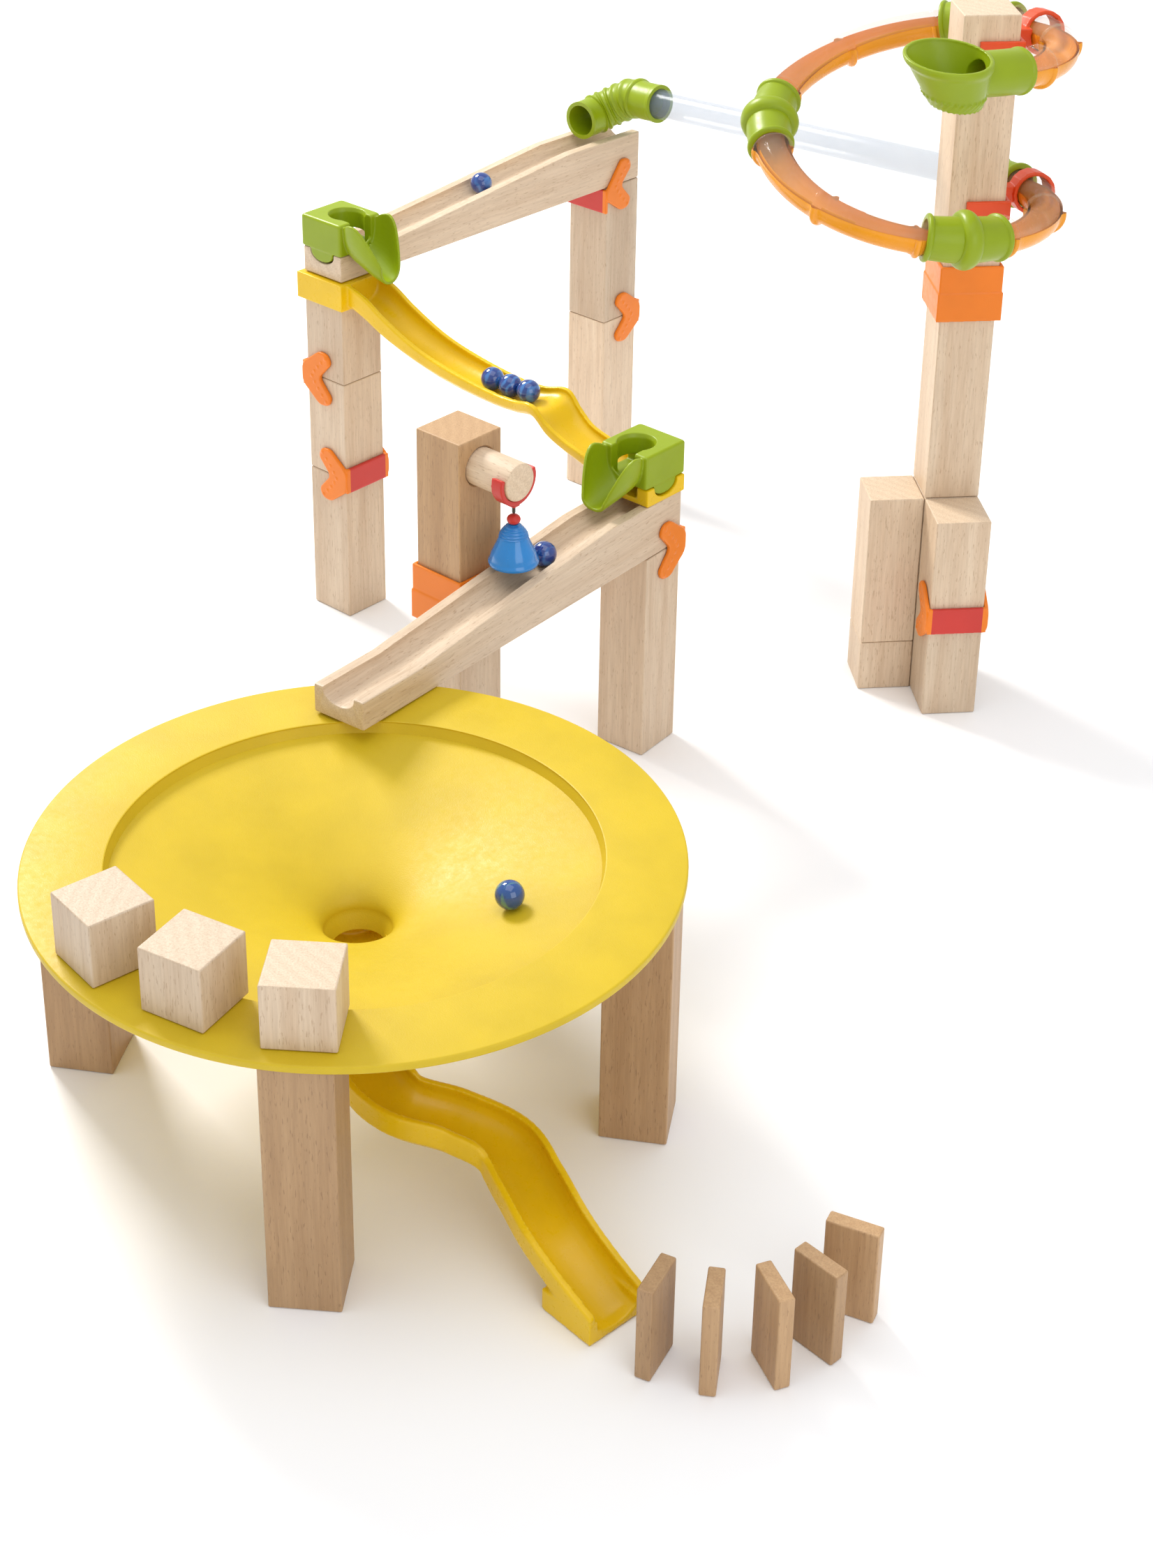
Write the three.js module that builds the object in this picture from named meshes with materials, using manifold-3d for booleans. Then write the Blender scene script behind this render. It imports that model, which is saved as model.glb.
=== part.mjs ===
// Marble run of wooden blocks, ramps, plastic slides and clear tubes.
// Millimetres, +Z up. Towers stand on z = 0. The plan is laid out from the foot of the ramp tower
// (tower A): +X runs to the slide tower (tower C), +Y to the tube tower (tower B).
import * as THREE from "three";
import { mergeVertices } from "three/addons/utils/BufferGeometryUtils.js";
import ManifoldModule from "manifold-3d";

// Driving dimensions
const BLOCK = 40; // side of every square block
const GAP = 0.3; // clearance left between pieces that touch
const RAMP_LENGTH = 340;
const RAMP_FALL = [85, 285]; // where the upper face starts and stops falling
const RAMP_THICK = [40, 20];
const GROOVE_HALF = 12.25;
const GROOVE_DEPTH = 9.5;
const RAMP_SLOPE_UPPER = 0.0105; // rise of the underside towards the low end
const RAMP_SLOPE_LOWER = 0.0206;
const RAMP_LOWER_YAW = 5; // degrees
const MARBLE_RADIUS = 8.6;

const TOWER_A = [0, 0];
const TOWER_B = [0, 300];
const TOWER_C = [300, 0];
const TOWER_E = [257, -139];
const TOWER_D = [405.8, 223.4];
const TOWER_D_YAW = 47.8;
const TOWER_TOP = 280;

const PLATE = 3; // partition of a collar
const COLLAR_HALF = 23.4;

const TUBE_OUTER = 12;
const TUBE_INNER = 10.2;
const COUPLER_INNER = 12.5;
const COUPLER_OUTER = 16.5;
const COUPLER_BEAD = 20.5;
const COUPLER_HALF_DEG = 16.5;
const SPIRAL_RADIUS = 97;
const SPIRAL_CENTRE = [-47.4, -3.3]; // in the column's own axes
const SPIRAL_TOP = 493;
const SPIRAL_FALL = 18.3; // per radian
const SPIRAL_TILT = [6.7, 12.4];
const SPIRAL_START = -67;
const COUPLER_DEG = [49, 165, 281, 397];
const STRAIGHT_END = new THREE.Vector3(55.5, 302.5, 355.4);

const DISH_CENTRE = [436, -408];
const DISH_RADIUS = 189;
const DISH_STEP = 142;
const DISH_HOLE = 20;
const DISH_TOP = 165.3;
const DISH_UNDER = 160.3;
const DISH_BOWL_TOP = 158;
const DISH_BOWL_LOW = 112;
const DISH_WALL = 3.2;

const DOMINO = [9, 30, 60]; // thickness, width, height

const WOOD = "#d9b68c";
const YELLOW = "#e5bd1c";
const GREEN = "#9cc62c";
const ORANGE = "#f08a24";
const RED = "#d23a2e";
const BLUE = "#2f6fc0";
const CLEAR = "#d9e4e6";
const GLASS = "#3a6fb0";

const wasm = await ManifoldModule();
wasm.setup();
const group = new THREE.Group();
const rad = THREE.MathUtils.degToRad;

// Turns a geometry into a solid for a boolean.
function toSolid(geometry) {
  const flat = geometry.index ? geometry.toNonIndexed() : geometry;
  const bare = new THREE.BufferGeometry();
  bare.setAttribute("position", flat.getAttribute("position"));
  const merged = mergeVertices(bare, 1e-3);
  const mesh = new wasm.Mesh({
    numProp: 3,
    vertProperties: merged.attributes.position.array,
    triVerts: new Uint32Array(merged.index.array),
  });
  return new wasm.Manifold(mesh);
}

function toGeometry(solid) {
  const mesh = solid.getMesh();
  const geometry = new THREE.BufferGeometry();
  const position = new THREE.BufferAttribute(mesh.vertProperties, 3);
  geometry.setAttribute("position", position);
  geometry.setIndex(new THREE.BufferAttribute(mesh.triVerts, 1));
  return geometry;
}

function join(...pieces) {
  return toGeometry(pieces.map(toSolid).reduce((a, b) => a.add(b)));
}

function cut(base, ...tools) {
  return toGeometry(tools.map(toSolid).reduce((a, b) => a.subtract(b), toSolid(base)));
}

// A geometry from raw points and faces, turned to face outwards.
function closed(points, faces) {
  let volume = 0;
  for (const [a, b, c] of faces) {
    volume += points[a].dot(new THREE.Vector3().crossVectors(points[b], points[c]));
  }
  const index = faces.flatMap(([a, b, c]) => (volume < 0 ? [a, c, b] : [a, b, c]));
  const geometry = new THREE.BufferGeometry();
  const flat = points.flatMap((p) => [p.x, p.y, p.z]);
  geometry.setAttribute("position", new THREE.Float32BufferAttribute(flat, 3));
  geometry.setIndex(index);
  return geometry;
}

// Faces between one closed loop of n points and the next.
function skin(faces, from, to, n) {
  for (let i = 0; i < n; i += 1) {
    const j = (i + 1) % n;
    faces.push([from + i, from + j, to + j]);
    faces.push([from + i, to + j, to + i]);
  }
}

// Solid through rings of points. Each ring is the same count of points, counter-clockwise seen
// from ahead; profile gives the first ring in its own plane, so that the ends can be closed.
function loft(rings, profile) {
  const n = profile.length;
  const faces = [];
  for (let r = 0; r + 1 < rings.length; r += 1) {
    skin(faces, r * n, (r + 1) * n, n);
  }
  const last = (rings.length - 1) * n;
  for (const [a, b, c] of THREE.ShapeUtils.triangulateShape(profile, [])) {
    faces.push([a, c, b]);
    faces.push([last + a, last + b, last + c]);
  }
  return closed(rings.flat(), faces);
}

// Hollow tube. Each station is {centre, tangent, outer, inner}.
function tube(stations, sides = 18) {
  const points = [];
  for (const key of ["outer", "inner"]) {
    for (const s of stations) {
      const side = new THREE.Vector3(0, 0, 1).cross(s.tangent).normalize();
      const up = new THREE.Vector3().crossVectors(s.tangent, side).normalize();
      for (let i = 0; i < sides; i += 1) {
        const turn = (2 * Math.PI * i) / sides;
        const across = side.clone().multiplyScalar(Math.cos(turn) * s[key]);
        across.addScaledVector(up, Math.sin(turn) * s[key]);
        points.push(across.add(s.centre));
      }
    }
  }
  const faces = [];
  const inner = stations.length * sides;
  for (let r = 0; r + 1 < stations.length; r += 1) {
    skin(faces, r * sides, (r + 1) * sides, sides);
    skin(faces, inner + (r + 1) * sides, inner + r * sides, sides);
  }
  skin(faces, inner, 0, sides);
  skin(faces, inner - sides, 2 * inner - sides, sides);
  return closed(points, faces);
}

// Solid rod along stations of {centre, tangent, outer}.
function rodAlong(stations, sides = 18) {
  const turnOf = (i) => (2 * Math.PI * i) / sides;
  const rings = stations.map((s) => {
    const side = new THREE.Vector3(0, 0, 1).cross(s.tangent).normalize();
    const up = new THREE.Vector3().crossVectors(s.tangent, side).normalize();
    const ring = [];
    for (let i = 0; i < sides; i += 1) {
      const across = side.clone().multiplyScalar(Math.cos(turnOf(i)) * s.outer);
      ring.push(across.addScaledVector(up, Math.sin(turnOf(i)) * s.outer).add(s.centre));
    }
    return ring;
  });
  const unit = (i) => new THREE.Vector2(Math.cos(turnOf(i)), Math.sin(turnOf(i)));
  return loft(rings, rings[0].map((_, i) => unit(i)));
}

function box(x0, x1, y0, y1, z0, z1) {
  const geometry = new THREE.BoxGeometry(x1 - x0, y1 - y0, z1 - z0);
  return geometry.translate((x0 + x1) / 2, (y0 + y1) / 2, (z0 + z1) / 2);
}

// Upright cylinder, or a lying one when turned afterwards.
function rod(radius, z0, z1, sides = 24) {
  const geometry = new THREE.CylinderGeometry(radius, radius, z1 - z0, sides);
  return geometry.rotateX(Math.PI / 2).translate(0, 0, (z0 + z1) / 2);
}

function lathe(profile, segments) {
  const outline = profile.map(([r, z]) => new THREE.Vector2(r, z));
  outline.push(outline[0].clone());
  const turned = new THREE.LatheGeometry(outline, segments).rotateX(Math.PI / 2);
  const merged = new THREE.BufferGeometry();
  merged.setAttribute("position", turned.toNonIndexed().getAttribute("position"));
  const welded = mergeVertices(merged, 1e-3);
  const p = welded.getAttribute("position");
  const points = [];
  for (let i = 0; i < p.count; i += 1) {
    points.push(new THREE.Vector3().fromBufferAttribute(p, i));
  }
  const faces = [];
  for (let i = 0; i < welded.index.count; i += 3) {
    const face = [0, 1, 2].map((k) => welded.index.getX(i + k));
    if (new Set(face).size === 3) {
      faces.push(face);
    }
  }
  return closed(points, faces);
}

function plate(outline, y0, y1) {
  // Flat plate with its outline in X and Z, from y0 to y1.
  const shape = new THREE.Shape(outline.map(([x, z]) => new THREE.Vector2(x, z)));
  const geometry = new THREE.ExtrudeGeometry(shape, { depth: y1 - y0, bevelEnabled: false });
  return geometry.rotateX(Math.PI / 2).translate(0, y1, 0);
}

function add(name, geometry, colour, at = [0, 0], yaw = 0, z = 0) {
  const clear = colour === CLEAR || colour === GLASS;
  const material = new THREE.MeshStandardMaterial({
    color: colour,
    transparent: clear,
    opacity: clear ? 0.5 : 1,
  });
  const mesh = new THREE.Mesh(geometry, material);
  mesh.name = name;
  mesh.position.set(at[0], at[1], z);
  mesh.rotation.z = rad(yaw);
  group.add(mesh);
  return mesh;
}

function block(name, at, z0, height, yaw = 0) {
  const half = BLOCK / 2;
  add(name, box(-half, half, -half, half, z0, z0 + height - GAP), WOOD, at, yaw);
}

// Where a point in the column's own axes lies in the plan.
function fromColumn(u, w) {
  const turn = rad(TOWER_D_YAW);
  const x = TOWER_D[0] + u * Math.cos(turn) - w * Math.sin(turn);
  const y = TOWER_D[1] + u * Math.sin(turn) + w * Math.cos(turn);
  return [x, y];
}

// Towers
block("tower_a_lower", TOWER_A, 0, 120);
block("tower_a_upper", TOWER_A, 120, 160);
block("tower_b_lower", TOWER_B, 0, 160);
block("tower_b_upper", TOWER_B, 160, 120);
block("tower_c_block", TOWER_C, 0, 160, RAMP_LOWER_YAW);
block("bell_tower_lower", TOWER_E, 0, 160);
block("column_lower", TOWER_D, 0, 320, TOWER_D_YAW);
block("column_top", TOWER_D, 320 + PLATE, 200, TOWER_D_YAW);
block("buttress_left", fromColumn(-BLOCK - GAP, 0), 0, 160, TOWER_D_YAW);
block("buttress_front", fromColumn(0, -BLOCK - GAP), 0, 160, TOWER_D_YAW);

// Two-step collar that ties two blocks end to end, with a partition between them.
function collar(name, at, yaw, jointZ) {
  const half = COLLAR_HALF;
  const hole = BLOCK / 2 + GAP;
  const upper = half - 0.7;
  const body = join(
    box(-half, half, -half, half, jointZ - 19, jointZ + 2),
    box(-upper, upper, -upper, upper, jointZ + 1, jointZ + 22),
  );
  const below = box(-hole, hole, -hole, hole, jointZ - 25, jointZ);
  const above = box(-hole, hole, -hole, hole, jointZ + PLATE - GAP, jointZ + 30);
  add(name, cut(body, below, above), ORANGE, at, yaw);
}
collar("bell_tower_collar", TOWER_E, 0, 160);
collar("column_collar", TOWER_D, TOWER_D_YAW, 320);

// Bell tower top with its blind hole, dowel, hanger and bell
const DOWEL_RADIUS = 13.2;
const DOWEL_Z = 261;
const BELL_X = 50; // from the tower's centre
const BELL_TOP = 228.5;
const BELL_HEIGHT = 28;

function alongX(geometry, z) {
  return geometry.rotateY(Math.PI / 2).translate(0, 0, z);
}
const bellBlock = box(-20, 20, -20, 20, 163, TOWER_TOP + PLATE - GAP);
const dowelHole = alongX(rod(DOWEL_RADIUS + GAP, 0, 30, 28), DOWEL_Z);
add("bell_tower_upper", cut(bellBlock, dowelHole), WOOD, TOWER_E);
add("bell_dowel", alongX(rod(DOWEL_RADIUS, GAP, 56, 28), DOWEL_Z), WOOD, TOWER_E);

function hanger() {
  const inner = DOWEL_RADIUS + GAP;
  const outer = inner + 3.4;
  const ring = new THREE.Shape();
  ring.absarc(0, 0, outer, rad(-200), rad(20), false);
  ring.absarc(0, 0, inner, rad(20), rad(-200), true);
  const half = new THREE.ExtrudeGeometry(ring, { depth: 9, bevelEnabled: false, curveSegments: 16 });
  half.translate(0, 0, -4.5).rotateX(Math.PI / 2).rotateZ(Math.PI / 2);
  half.translate(BELL_X, 0, DOWEL_Z);
  const lug = box(BELL_X - 3, BELL_X + 3, -3, 3, DOWEL_Z - outer - 2, DOWEL_Z - outer + 1.5);
  const hook = rod(1.3, 237, DOWEL_Z - outer, 10).translate(BELL_X, 0, 0);
  return join(half, lug, hook);
}
add("bell_hanger", hanger(), RED, TOWER_E);

function bell() {
  const low = BELL_TOP - BELL_HEIGHT;
  const outside = [
    [17, low],
    [17, low + 3],
    [15.4, low + 7.5],
    [12.6, low + 13],
    [10.2, low + 19],
    [8.2, low + 24.5],
    [5.6, low + 27],
    [3.4, low + BELL_HEIGHT],
    [3.4, 230],
    [4.6, 232],
    [4.6, 234],
    [3, 236.4],
    [0, 236.4],
  ];
  const inside = [
    [0, low + 24.5],
    [6.4, low + 22.5],
    [8.6, low + 18],
    [11, low + 12],
    [13.8, low + 6.5],
    [15.4, low],
  ];
  return lathe([...outside, ...inside], 20);
}
add("bell", bell(), BLUE, [TOWER_E[0] + BELL_X, TOWER_E[1]]);

// Ramps: flat underside, upper face that falls away from the high end, round groove along it.
function rampThickness(fromHigh) {
  const share = (fromHigh - RAMP_FALL[0]) / (RAMP_FALL[1] - RAMP_FALL[0]);
  return RAMP_THICK[0] + (RAMP_THICK[1] - RAMP_THICK[0]) * THREE.MathUtils.clamp(share, 0, 1);
}

// Groove seen end on, from its right lip down and round to its left lip.
function grooveArc(half, depth, steps = 6) {
  const arc = [];
  for (let i = 0; i <= steps; i += 1) {
    const turn = (Math.PI * i) / steps;
    arc.push([half * Math.cos(turn), -depth * Math.sin(turn) ** 0.8]);
  }
  return arc;
}

function ramp(slope, underside) {
  const stations = [0, ...RAMP_FALL, RAMP_LENGTH];
  const section = (fromHigh) => {
    const z0 = underside + slope * fromHigh;
    const z1 = z0 + rampThickness(fromHigh);
    const half = BLOCK / 2;
    const groove = grooveArc(GROOVE_HALF, GROOVE_DEPTH).map(([x, z]) => [x, z1 + z]);
    return [[-half, z0], [half, z0], [half, z1], ...groove, [-half, z1]];
  };
  const rings = stations.map((s) =>
    section(s).map(([x, z]) => new THREE.Vector3(x, BLOCK / 2 - s, z)),
  );
  return loft(rings, section(0).map(([x, z]) => new THREE.Vector2(x, z)));
}
add("ramp_upper", ramp(RAMP_SLOPE_UPPER, TOWER_TOP + 0.2), WOOD, TOWER_B);
add("ramp_lower", ramp(RAMP_SLOPE_LOWER, 160.1), WOOD, TOWER_C, RAMP_LOWER_YAW);

// Open channel section, counter-clockwise: across, then up.
function channel({ half, wall, rim, low }) {
  const floor = low + wall;
  const depth = rim - floor;
  const inner = half - wall;
  const chamfer = Math.min(6, depth / 2);
  return [
    [-half, rim],
    [-half, low + chamfer],
    [-half + chamfer, low],
    [half - chamfer, low],
    [half, low + chamfer],
    [half, rim],
    [inner, rim],
    [inner - 0.6, floor + 0.5 * depth],
    [inner - 4.5, floor + 0.14 * depth],
    [0, floor],
    [4.5 - inner, floor + 0.14 * depth],
    [0.6 - inner, floor + 0.5 * depth],
    [-inner, rim],
  ];
}

// Upper slide: collar over tower A, dipping channel with a ridge, seat over tower C.
function upperSlide() {
  const stations = [
    { x: 22, rim: 283, low: 262, half: 18 },
    { x: 40, rim: 277, low: 255, half: 18 },
    { x: 61, rim: 266, low: 246, half: 18 },
    { x: 93, rim: 253, low: 237, half: 18 },
    { x: 128, rim: 245.5, low: 231, half: 18 },
    { x: 168, rim: 241, low: 229.6, half: 18 },
    { x: 192, rim: 241.5, low: 231, half: 18.5 },
    { x: 214, rim: 245, low: 234, half: 21 },
    { x: 226, rim: 234, low: 222, half: 20 },
    { x: 240, rim: 226, low: 215, half: 18 },
    { x: 262, rim: 220, low: 208, half: 18 },
    { x: 278.5, rim: 214.2, low: 202, half: 18 },
  ];
  const flat = stations.map((s) => channel({ ...s, wall: 3 }));
  const rings = stations.map((s, i) => flat[i].map(([y, z]) => new THREE.Vector3(s.x, y, z)));
  const trough = loft(rings, flat[0].map(([y, z]) => new THREE.Vector2(y, z)));
  const shell = box(-24, 24, -24, 24, 262, TOWER_TOP + PLATE);
  const socket = box(-20.3, 20.3, -20.3, 20.3, 255, TOWER_TOP);
  const seat = box(277, 322, -20, 20, 201.4, 214.2);
  const groove = box(270, 312, -10, 10, 205.5, 230);
  const exit = box(290, 312, -30, 10, 205.5, 230);
  const arc = grooveArc(GROOVE_HALF, GROOVE_DEPTH, 6).map(([y, z]) => [y, 214.2 + z]);
  const notch = plate([[0, 220], ...arc], -323, -311).rotateZ(Math.PI / 2);
  return join(cut(shell, socket), cut(join(trough, seat), groove, exit, notch));
}
add("slide_upper", upperSlide(), YELLOW);

// Lower slide: winds from under the dish's hole to a flat foot. Points are the middle of the rim.
const LOWER_SLIDE = [
  [414, -391, 108],
  [436, -408, 104],
  [466, -436, 92],
  [497, -457, 80],
  [522, -458, 72],
  [546, -441, 63],
  [572, -430, 54],
  [598, -437, 46],
  [625, -447, 39],
  [650, -452, 29.5],
  [678, -455, 18],
];

function lowerSlide() {
  const knots = LOWER_SLIDE.map(([x, y, z]) => new THREE.Vector3(x, y, z));
  const curve = new THREE.CatmullRomCurve3(knots, false, "centripetal");
  const ringAt = (t, height, solid) => {
    const centre = curve.getPointAt(t);
    const tangent = curve.getTangentAt(t).setZ(0).normalize();
    const side = new THREE.Vector3(tangent.y, -tangent.x, 0);
    const low = Math.max(centre.z - height, 0.4);
    const section = channel({ half: 20, wall: 3, rim: centre.z, low });
    const kept = solid ? section.slice(0, 6) : section;
    const ring = kept.map(([u, z]) => centre.clone().addScaledVector(side, u).setZ(z));
    return { ring, flat: kept.map(([u, z]) => new THREE.Vector2(u, z)) };
  };
  const sweep = (from, to, count, height, solid) => {
    const made = [];
    for (let i = 0; i < count; i += 1) {
      made.push(ringAt(from + ((to - from) * i) / (count - 1), height, solid));
    }
    return loft(made.map((m) => m.ring), made[0].flat);
  };
  const end = curve.getPointAt(1);
  const last = curve.getTangentAt(1).setZ(0).normalize();
  const foot = box(-38, 0, -20, 20, 0, 14);
  const hollow = box(-50, 5, -14, 14, 3, 60);
  const turn = Math.atan2(last.y, last.x);
  for (const part of [foot, hollow]) {
    part.rotateZ(turn).translate(end.x, end.y, 0);
  }
  const trough = sweep(0, 1, 18, 21, false);
  const backWall = sweep(0, 0.012, 2, 21, true);
  return join(trough, backWall, cut(foot, hollow));
}
add("slide_lower", lowerSlide(), YELLOW);

// Corner cup: block with a round bowl and a scoop of two petals. It takes a marble from +Y and
// lets it out at +X; the mirrored one takes it from -X and lets it out at -Y.
const CUP_HALF = 21;
const CUP_HEIGHT = 25;

function cornerCup(tipDrop, key) {
  const body = box(-CUP_HALF, CUP_HALF, -CUP_HALF, CUP_HALF, 0, CUP_HEIGHT);
  const bowl = rod(13.5, -5, 40, 24).translate(5, 2, 0);
  const entry = box(-8, 14, 2, 30, -5, 14);
  const exit = box(5, 30, -9.5, 11.5, 2, 40);
  const parts = [cut(body, bowl, entry, exit)];
  if (key) {
    const arc = grooveArc(GROOVE_HALF - 0.7, GROOVE_DEPTH - 0.9, 6);
    const outline = [...arc.map(([x, z]) => [x, z]), [0, 1]].reverse();
    parts.push(plate(outline, -20, -12.8));
  }
  // Chute that flares past the body and narrows to a low tip, its side walls like two petals.
  const chute = (x, rim, low, half) => {
    const section = channel({ half, wall: 2.2, rim, low: (low * tipDrop) / 18 });
    return section.map(([y, z]) => new THREE.Vector3(x, y, z));
  };
  const rings = [
    chute(19, 24.6, 0.5, 15.5),
    chute(21.4, 26, -0.4, 17),
    chute(26, 27.5, -4, 19),
    chute(33, 26, -8, 19.5),
    chute(40, 19.5, -11.5, 18),
    chute(46.5, 8, -14.5, 15),
    chute(52, -4, -17, 11),
  ];
  parts.push(loft(rings, rings[0].map((p) => new THREE.Vector2(p.y, p.z))));
  return join(...parts);
}
const upperCup = cornerCup(18, true);
add("corner_cup_upper", upperCup, GREEN, TOWER_A, 0, 304.1);
const lowerCup = toGeometry(toSolid(cornerCup(11, true)).mirror([1, 0, 0]));
add("corner_cup_lower", lowerCup.rotateZ(Math.PI / 2), GREEN, TOWER_C, 0, 214.5);

// Tube run: down the spiral round the column, then straight to the elbow. Measured in degrees of
// the spiral, also along the straight part.
const RUN_END = COUPLER_DEG[3];
const MM_PER_DEGREE = (SPIRAL_RADIUS * Math.PI) / 180;

function spiralPoint(degrees) {
  const turn = rad(degrees);
  const u = SPIRAL_CENTRE[0] + SPIRAL_RADIUS * Math.cos(turn);
  const w = SPIRAL_CENTRE[1] + SPIRAL_RADIUS * Math.sin(turn);
  const tilt = SPIRAL_TILT[0] * Math.cos(turn) + SPIRAL_TILT[1] * Math.sin(turn);
  return new THREE.Vector3(...fromColumn(u, w), SPIRAL_TOP - SPIRAL_FALL * turn + tilt);
}
const runBend = spiralPoint(RUN_END);
const straightWay = STRAIGHT_END.clone().sub(runBend).normalize();
const STRAIGHT_DEG = STRAIGHT_END.distanceTo(runBend) / MM_PER_DEGREE;

function runPoint(degrees) {
  if (degrees <= RUN_END) {
    return spiralPoint(degrees);
  }
  return runBend.clone().addScaledVector(straightWay, (degrees - RUN_END) * MM_PER_DEGREE);
}

function runStation(degrees, outer, inner) {
  const ahead = runPoint(degrees + 0.5);
  const tangent = ahead.sub(runPoint(degrees - 0.5)).normalize();
  return { centre: runPoint(degrees), tangent, outer, inner };
}

// Length of tube. Inside a coupler its stations are the coupler's own, so the two keep one
// clearance.
function runTube(from, to, steps) {
  const made = [from + GAP, from + 4, from + 10];
  const start = from + COUPLER_HALF_DEG;
  const end = to - COUPLER_HALF_DEG;
  for (let i = 0; i <= steps; i += 1) {
    made.push(start + ((end - start) * i) / steps);
  }
  made.push(to - 10, to - 4, to - GAP);
  return tube(made.map((d) => runStation(d, TUBE_OUTER, TUBE_INNER)), 14);
}

const TUBE_ENDS = [SPIRAL_START, ...COUPLER_DEG];
for (let i = 0; i < 4; i += 1) {
  add(`curve_tube_${i + 1}`, runTube(TUBE_ENDS[i], TUBE_ENDS[i + 1], 7), CLEAR);
}
add("straight_tube", runTube(RUN_END, RUN_END + STRAIGHT_DEG + 4, 1), CLEAR);

COUPLER_DEG.forEach((middle, i) => {
  const half = [
    [4, COUPLER_BEAD - 4],
    [3.2, COUPLER_BEAD - 1],
    [2, COUPLER_BEAD],
  ];
  const profile = [[COUPLER_HALF_DEG, COUPLER_OUTER], [10, COUPLER_OUTER], ...half];
  const whole = [...profile.map(([d, r]) => [-d, r]), ...profile.reverse()];
  const stations = whole.map(([d, outer]) => runStation(middle + d, outer, COUPLER_INNER));
  add(`tube_coupler_${i + 1}`, tube(stations, 14), GREEN);
});

// Clip that holds a tube beside the column: ring, arm, band along one face, tongue on the next.
function tubeClip(degrees) {
  const z = runPoint(degrees).z;
  const ring = [-4, 0, 4].map((d) => runStation(degrees + d, 15.8, 12.8));
  const core = [-9, 0, 9].map((d) => runStation(degrees + d, 12.8));
  const inColumn = (geometry) =>
    geometry.rotateZ(rad(TOWER_D_YAW)).translate(TOWER_D[0], TOWER_D[1], 0);
  const near = BLOCK / 2 + GAP;
  const arm = inColumn(box(near, 38, 9, 19, z - 6, z + 6));
  const band = inColumn(box(near, near + 3, -near - 3, 19, z - 7, z + 7));
  const tongue = inColumn(box(-8, near + 1, -near - 3, -near, z - 7, z + 7));
  return cut(join(tube(ring, 16), arm, band, tongue), rodAlong(core, 16));
}
add("tube_clip_upper", tubeClip(16), ORANGE);
add("tube_clip_lower", tubeClip(371), ORANGE);

// Elbow from the straight tube down onto the upper ramp, with ribs round its bend.
function elbow() {
  const mouth = STRAIGHT_END;
  const back = (distance) => mouth.clone().addScaledVector(straightWay, distance);
  const curve = new THREE.CatmullRomCurve3([
    new THREE.Vector3(0, 269, 336.6),
    new THREE.Vector3(0, 280, 336.9),
    new THREE.Vector3(2.6, 291, 339.6),
    new THREE.Vector3(11.5, 300.5, 345.6),
    back(30),
    back(14),
    back(0),
  ]);
  const stations = [];
  const steps = 16;
  for (let i = 0; i <= steps; i += 1) {
    const t = i / steps;
    const rib = i > 3 && i < 12 && i % 2 === 0;
    const outer = rib ? 17.2 : 15.5;
    stations.push({
      centre: curve.getPointAt(t),
      tangent: curve.getTangentAt(t),
      outer,
      inner: TUBE_OUTER + 0.4,
    });
  }
  return tube(stations, 14);
}
add("tube_elbow", elbow(), GREEN);

// Funnel cup at the top of the tube run, with its outlet round the first tube.
function funnelCup() {
  const start = runStation(SPIRAL_START);
  const centre = start.centre.clone().addScaledVector(start.tangent, -38);
  const low = 489;
  const top = low + 34.2;
  const wall = [
    [0, low],
    [14, low],
    [18, low + 3],
    [22, low + 13],
    [27, low + 27],
    [29.5, top - 4],
    [29.5, top],
    [26.5, top],
    [24.4, low + 27],
    [19.4, low + 14],
    [16, low + 6],
    [0, low + 4],
  ];
  const hollow = [
    [0, low + 5],
    [15, low + 6.5],
    [19, low + 14],
    [24, low + 27],
    [26, top + 4],
    [0, top + 4],
  ];
  // The cup leans back from its outlet and its mouth dips outwards.
  const way = start.tangent.clone().setZ(0).normalize().multiplyScalar(0.265);
  const dip = new THREE.Vector2(way.y, -way.x).multiplyScalar(0.49);
  const lean = new THREE.Matrix4().set(
    1, 0, -way.x, way.x * low,
    0, 1, -way.y, way.y * low,
    -dip.x, -dip.y, 1, 0,
    0, 0, 0, 1,
  );
  const bowl = lathe(wall, 24).applyMatrix4(lean).translate(centre.x, centre.y, 0);
  const inside = lathe(hollow, 24).applyMatrix4(lean).translate(centre.x, centre.y, 0);
  const before = (distance, outer) => ({
    ...start,
    centre: start.centre.clone().addScaledVector(start.tangent, -distance),
    outer,
  });
  const after = (degrees, outer) => runStation(SPIRAL_START + degrees, outer);
  const spout = rodAlong([before(24, 15.2), before(0, 15.2), after(4, 15.2), after(8, 15.2)]);
  const bore = rodAlong([before(30, 9.6), before(1, 9.6), after(1, 9.6)]);
  const socket = rodAlong([before(0.4, 12.5), after(4, 12.5), after(9, 12.5)]);
  return cut(join(bowl, spout), bore, socket, inside);
}
add("funnel_cup", funnelCup(), GREEN);

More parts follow.
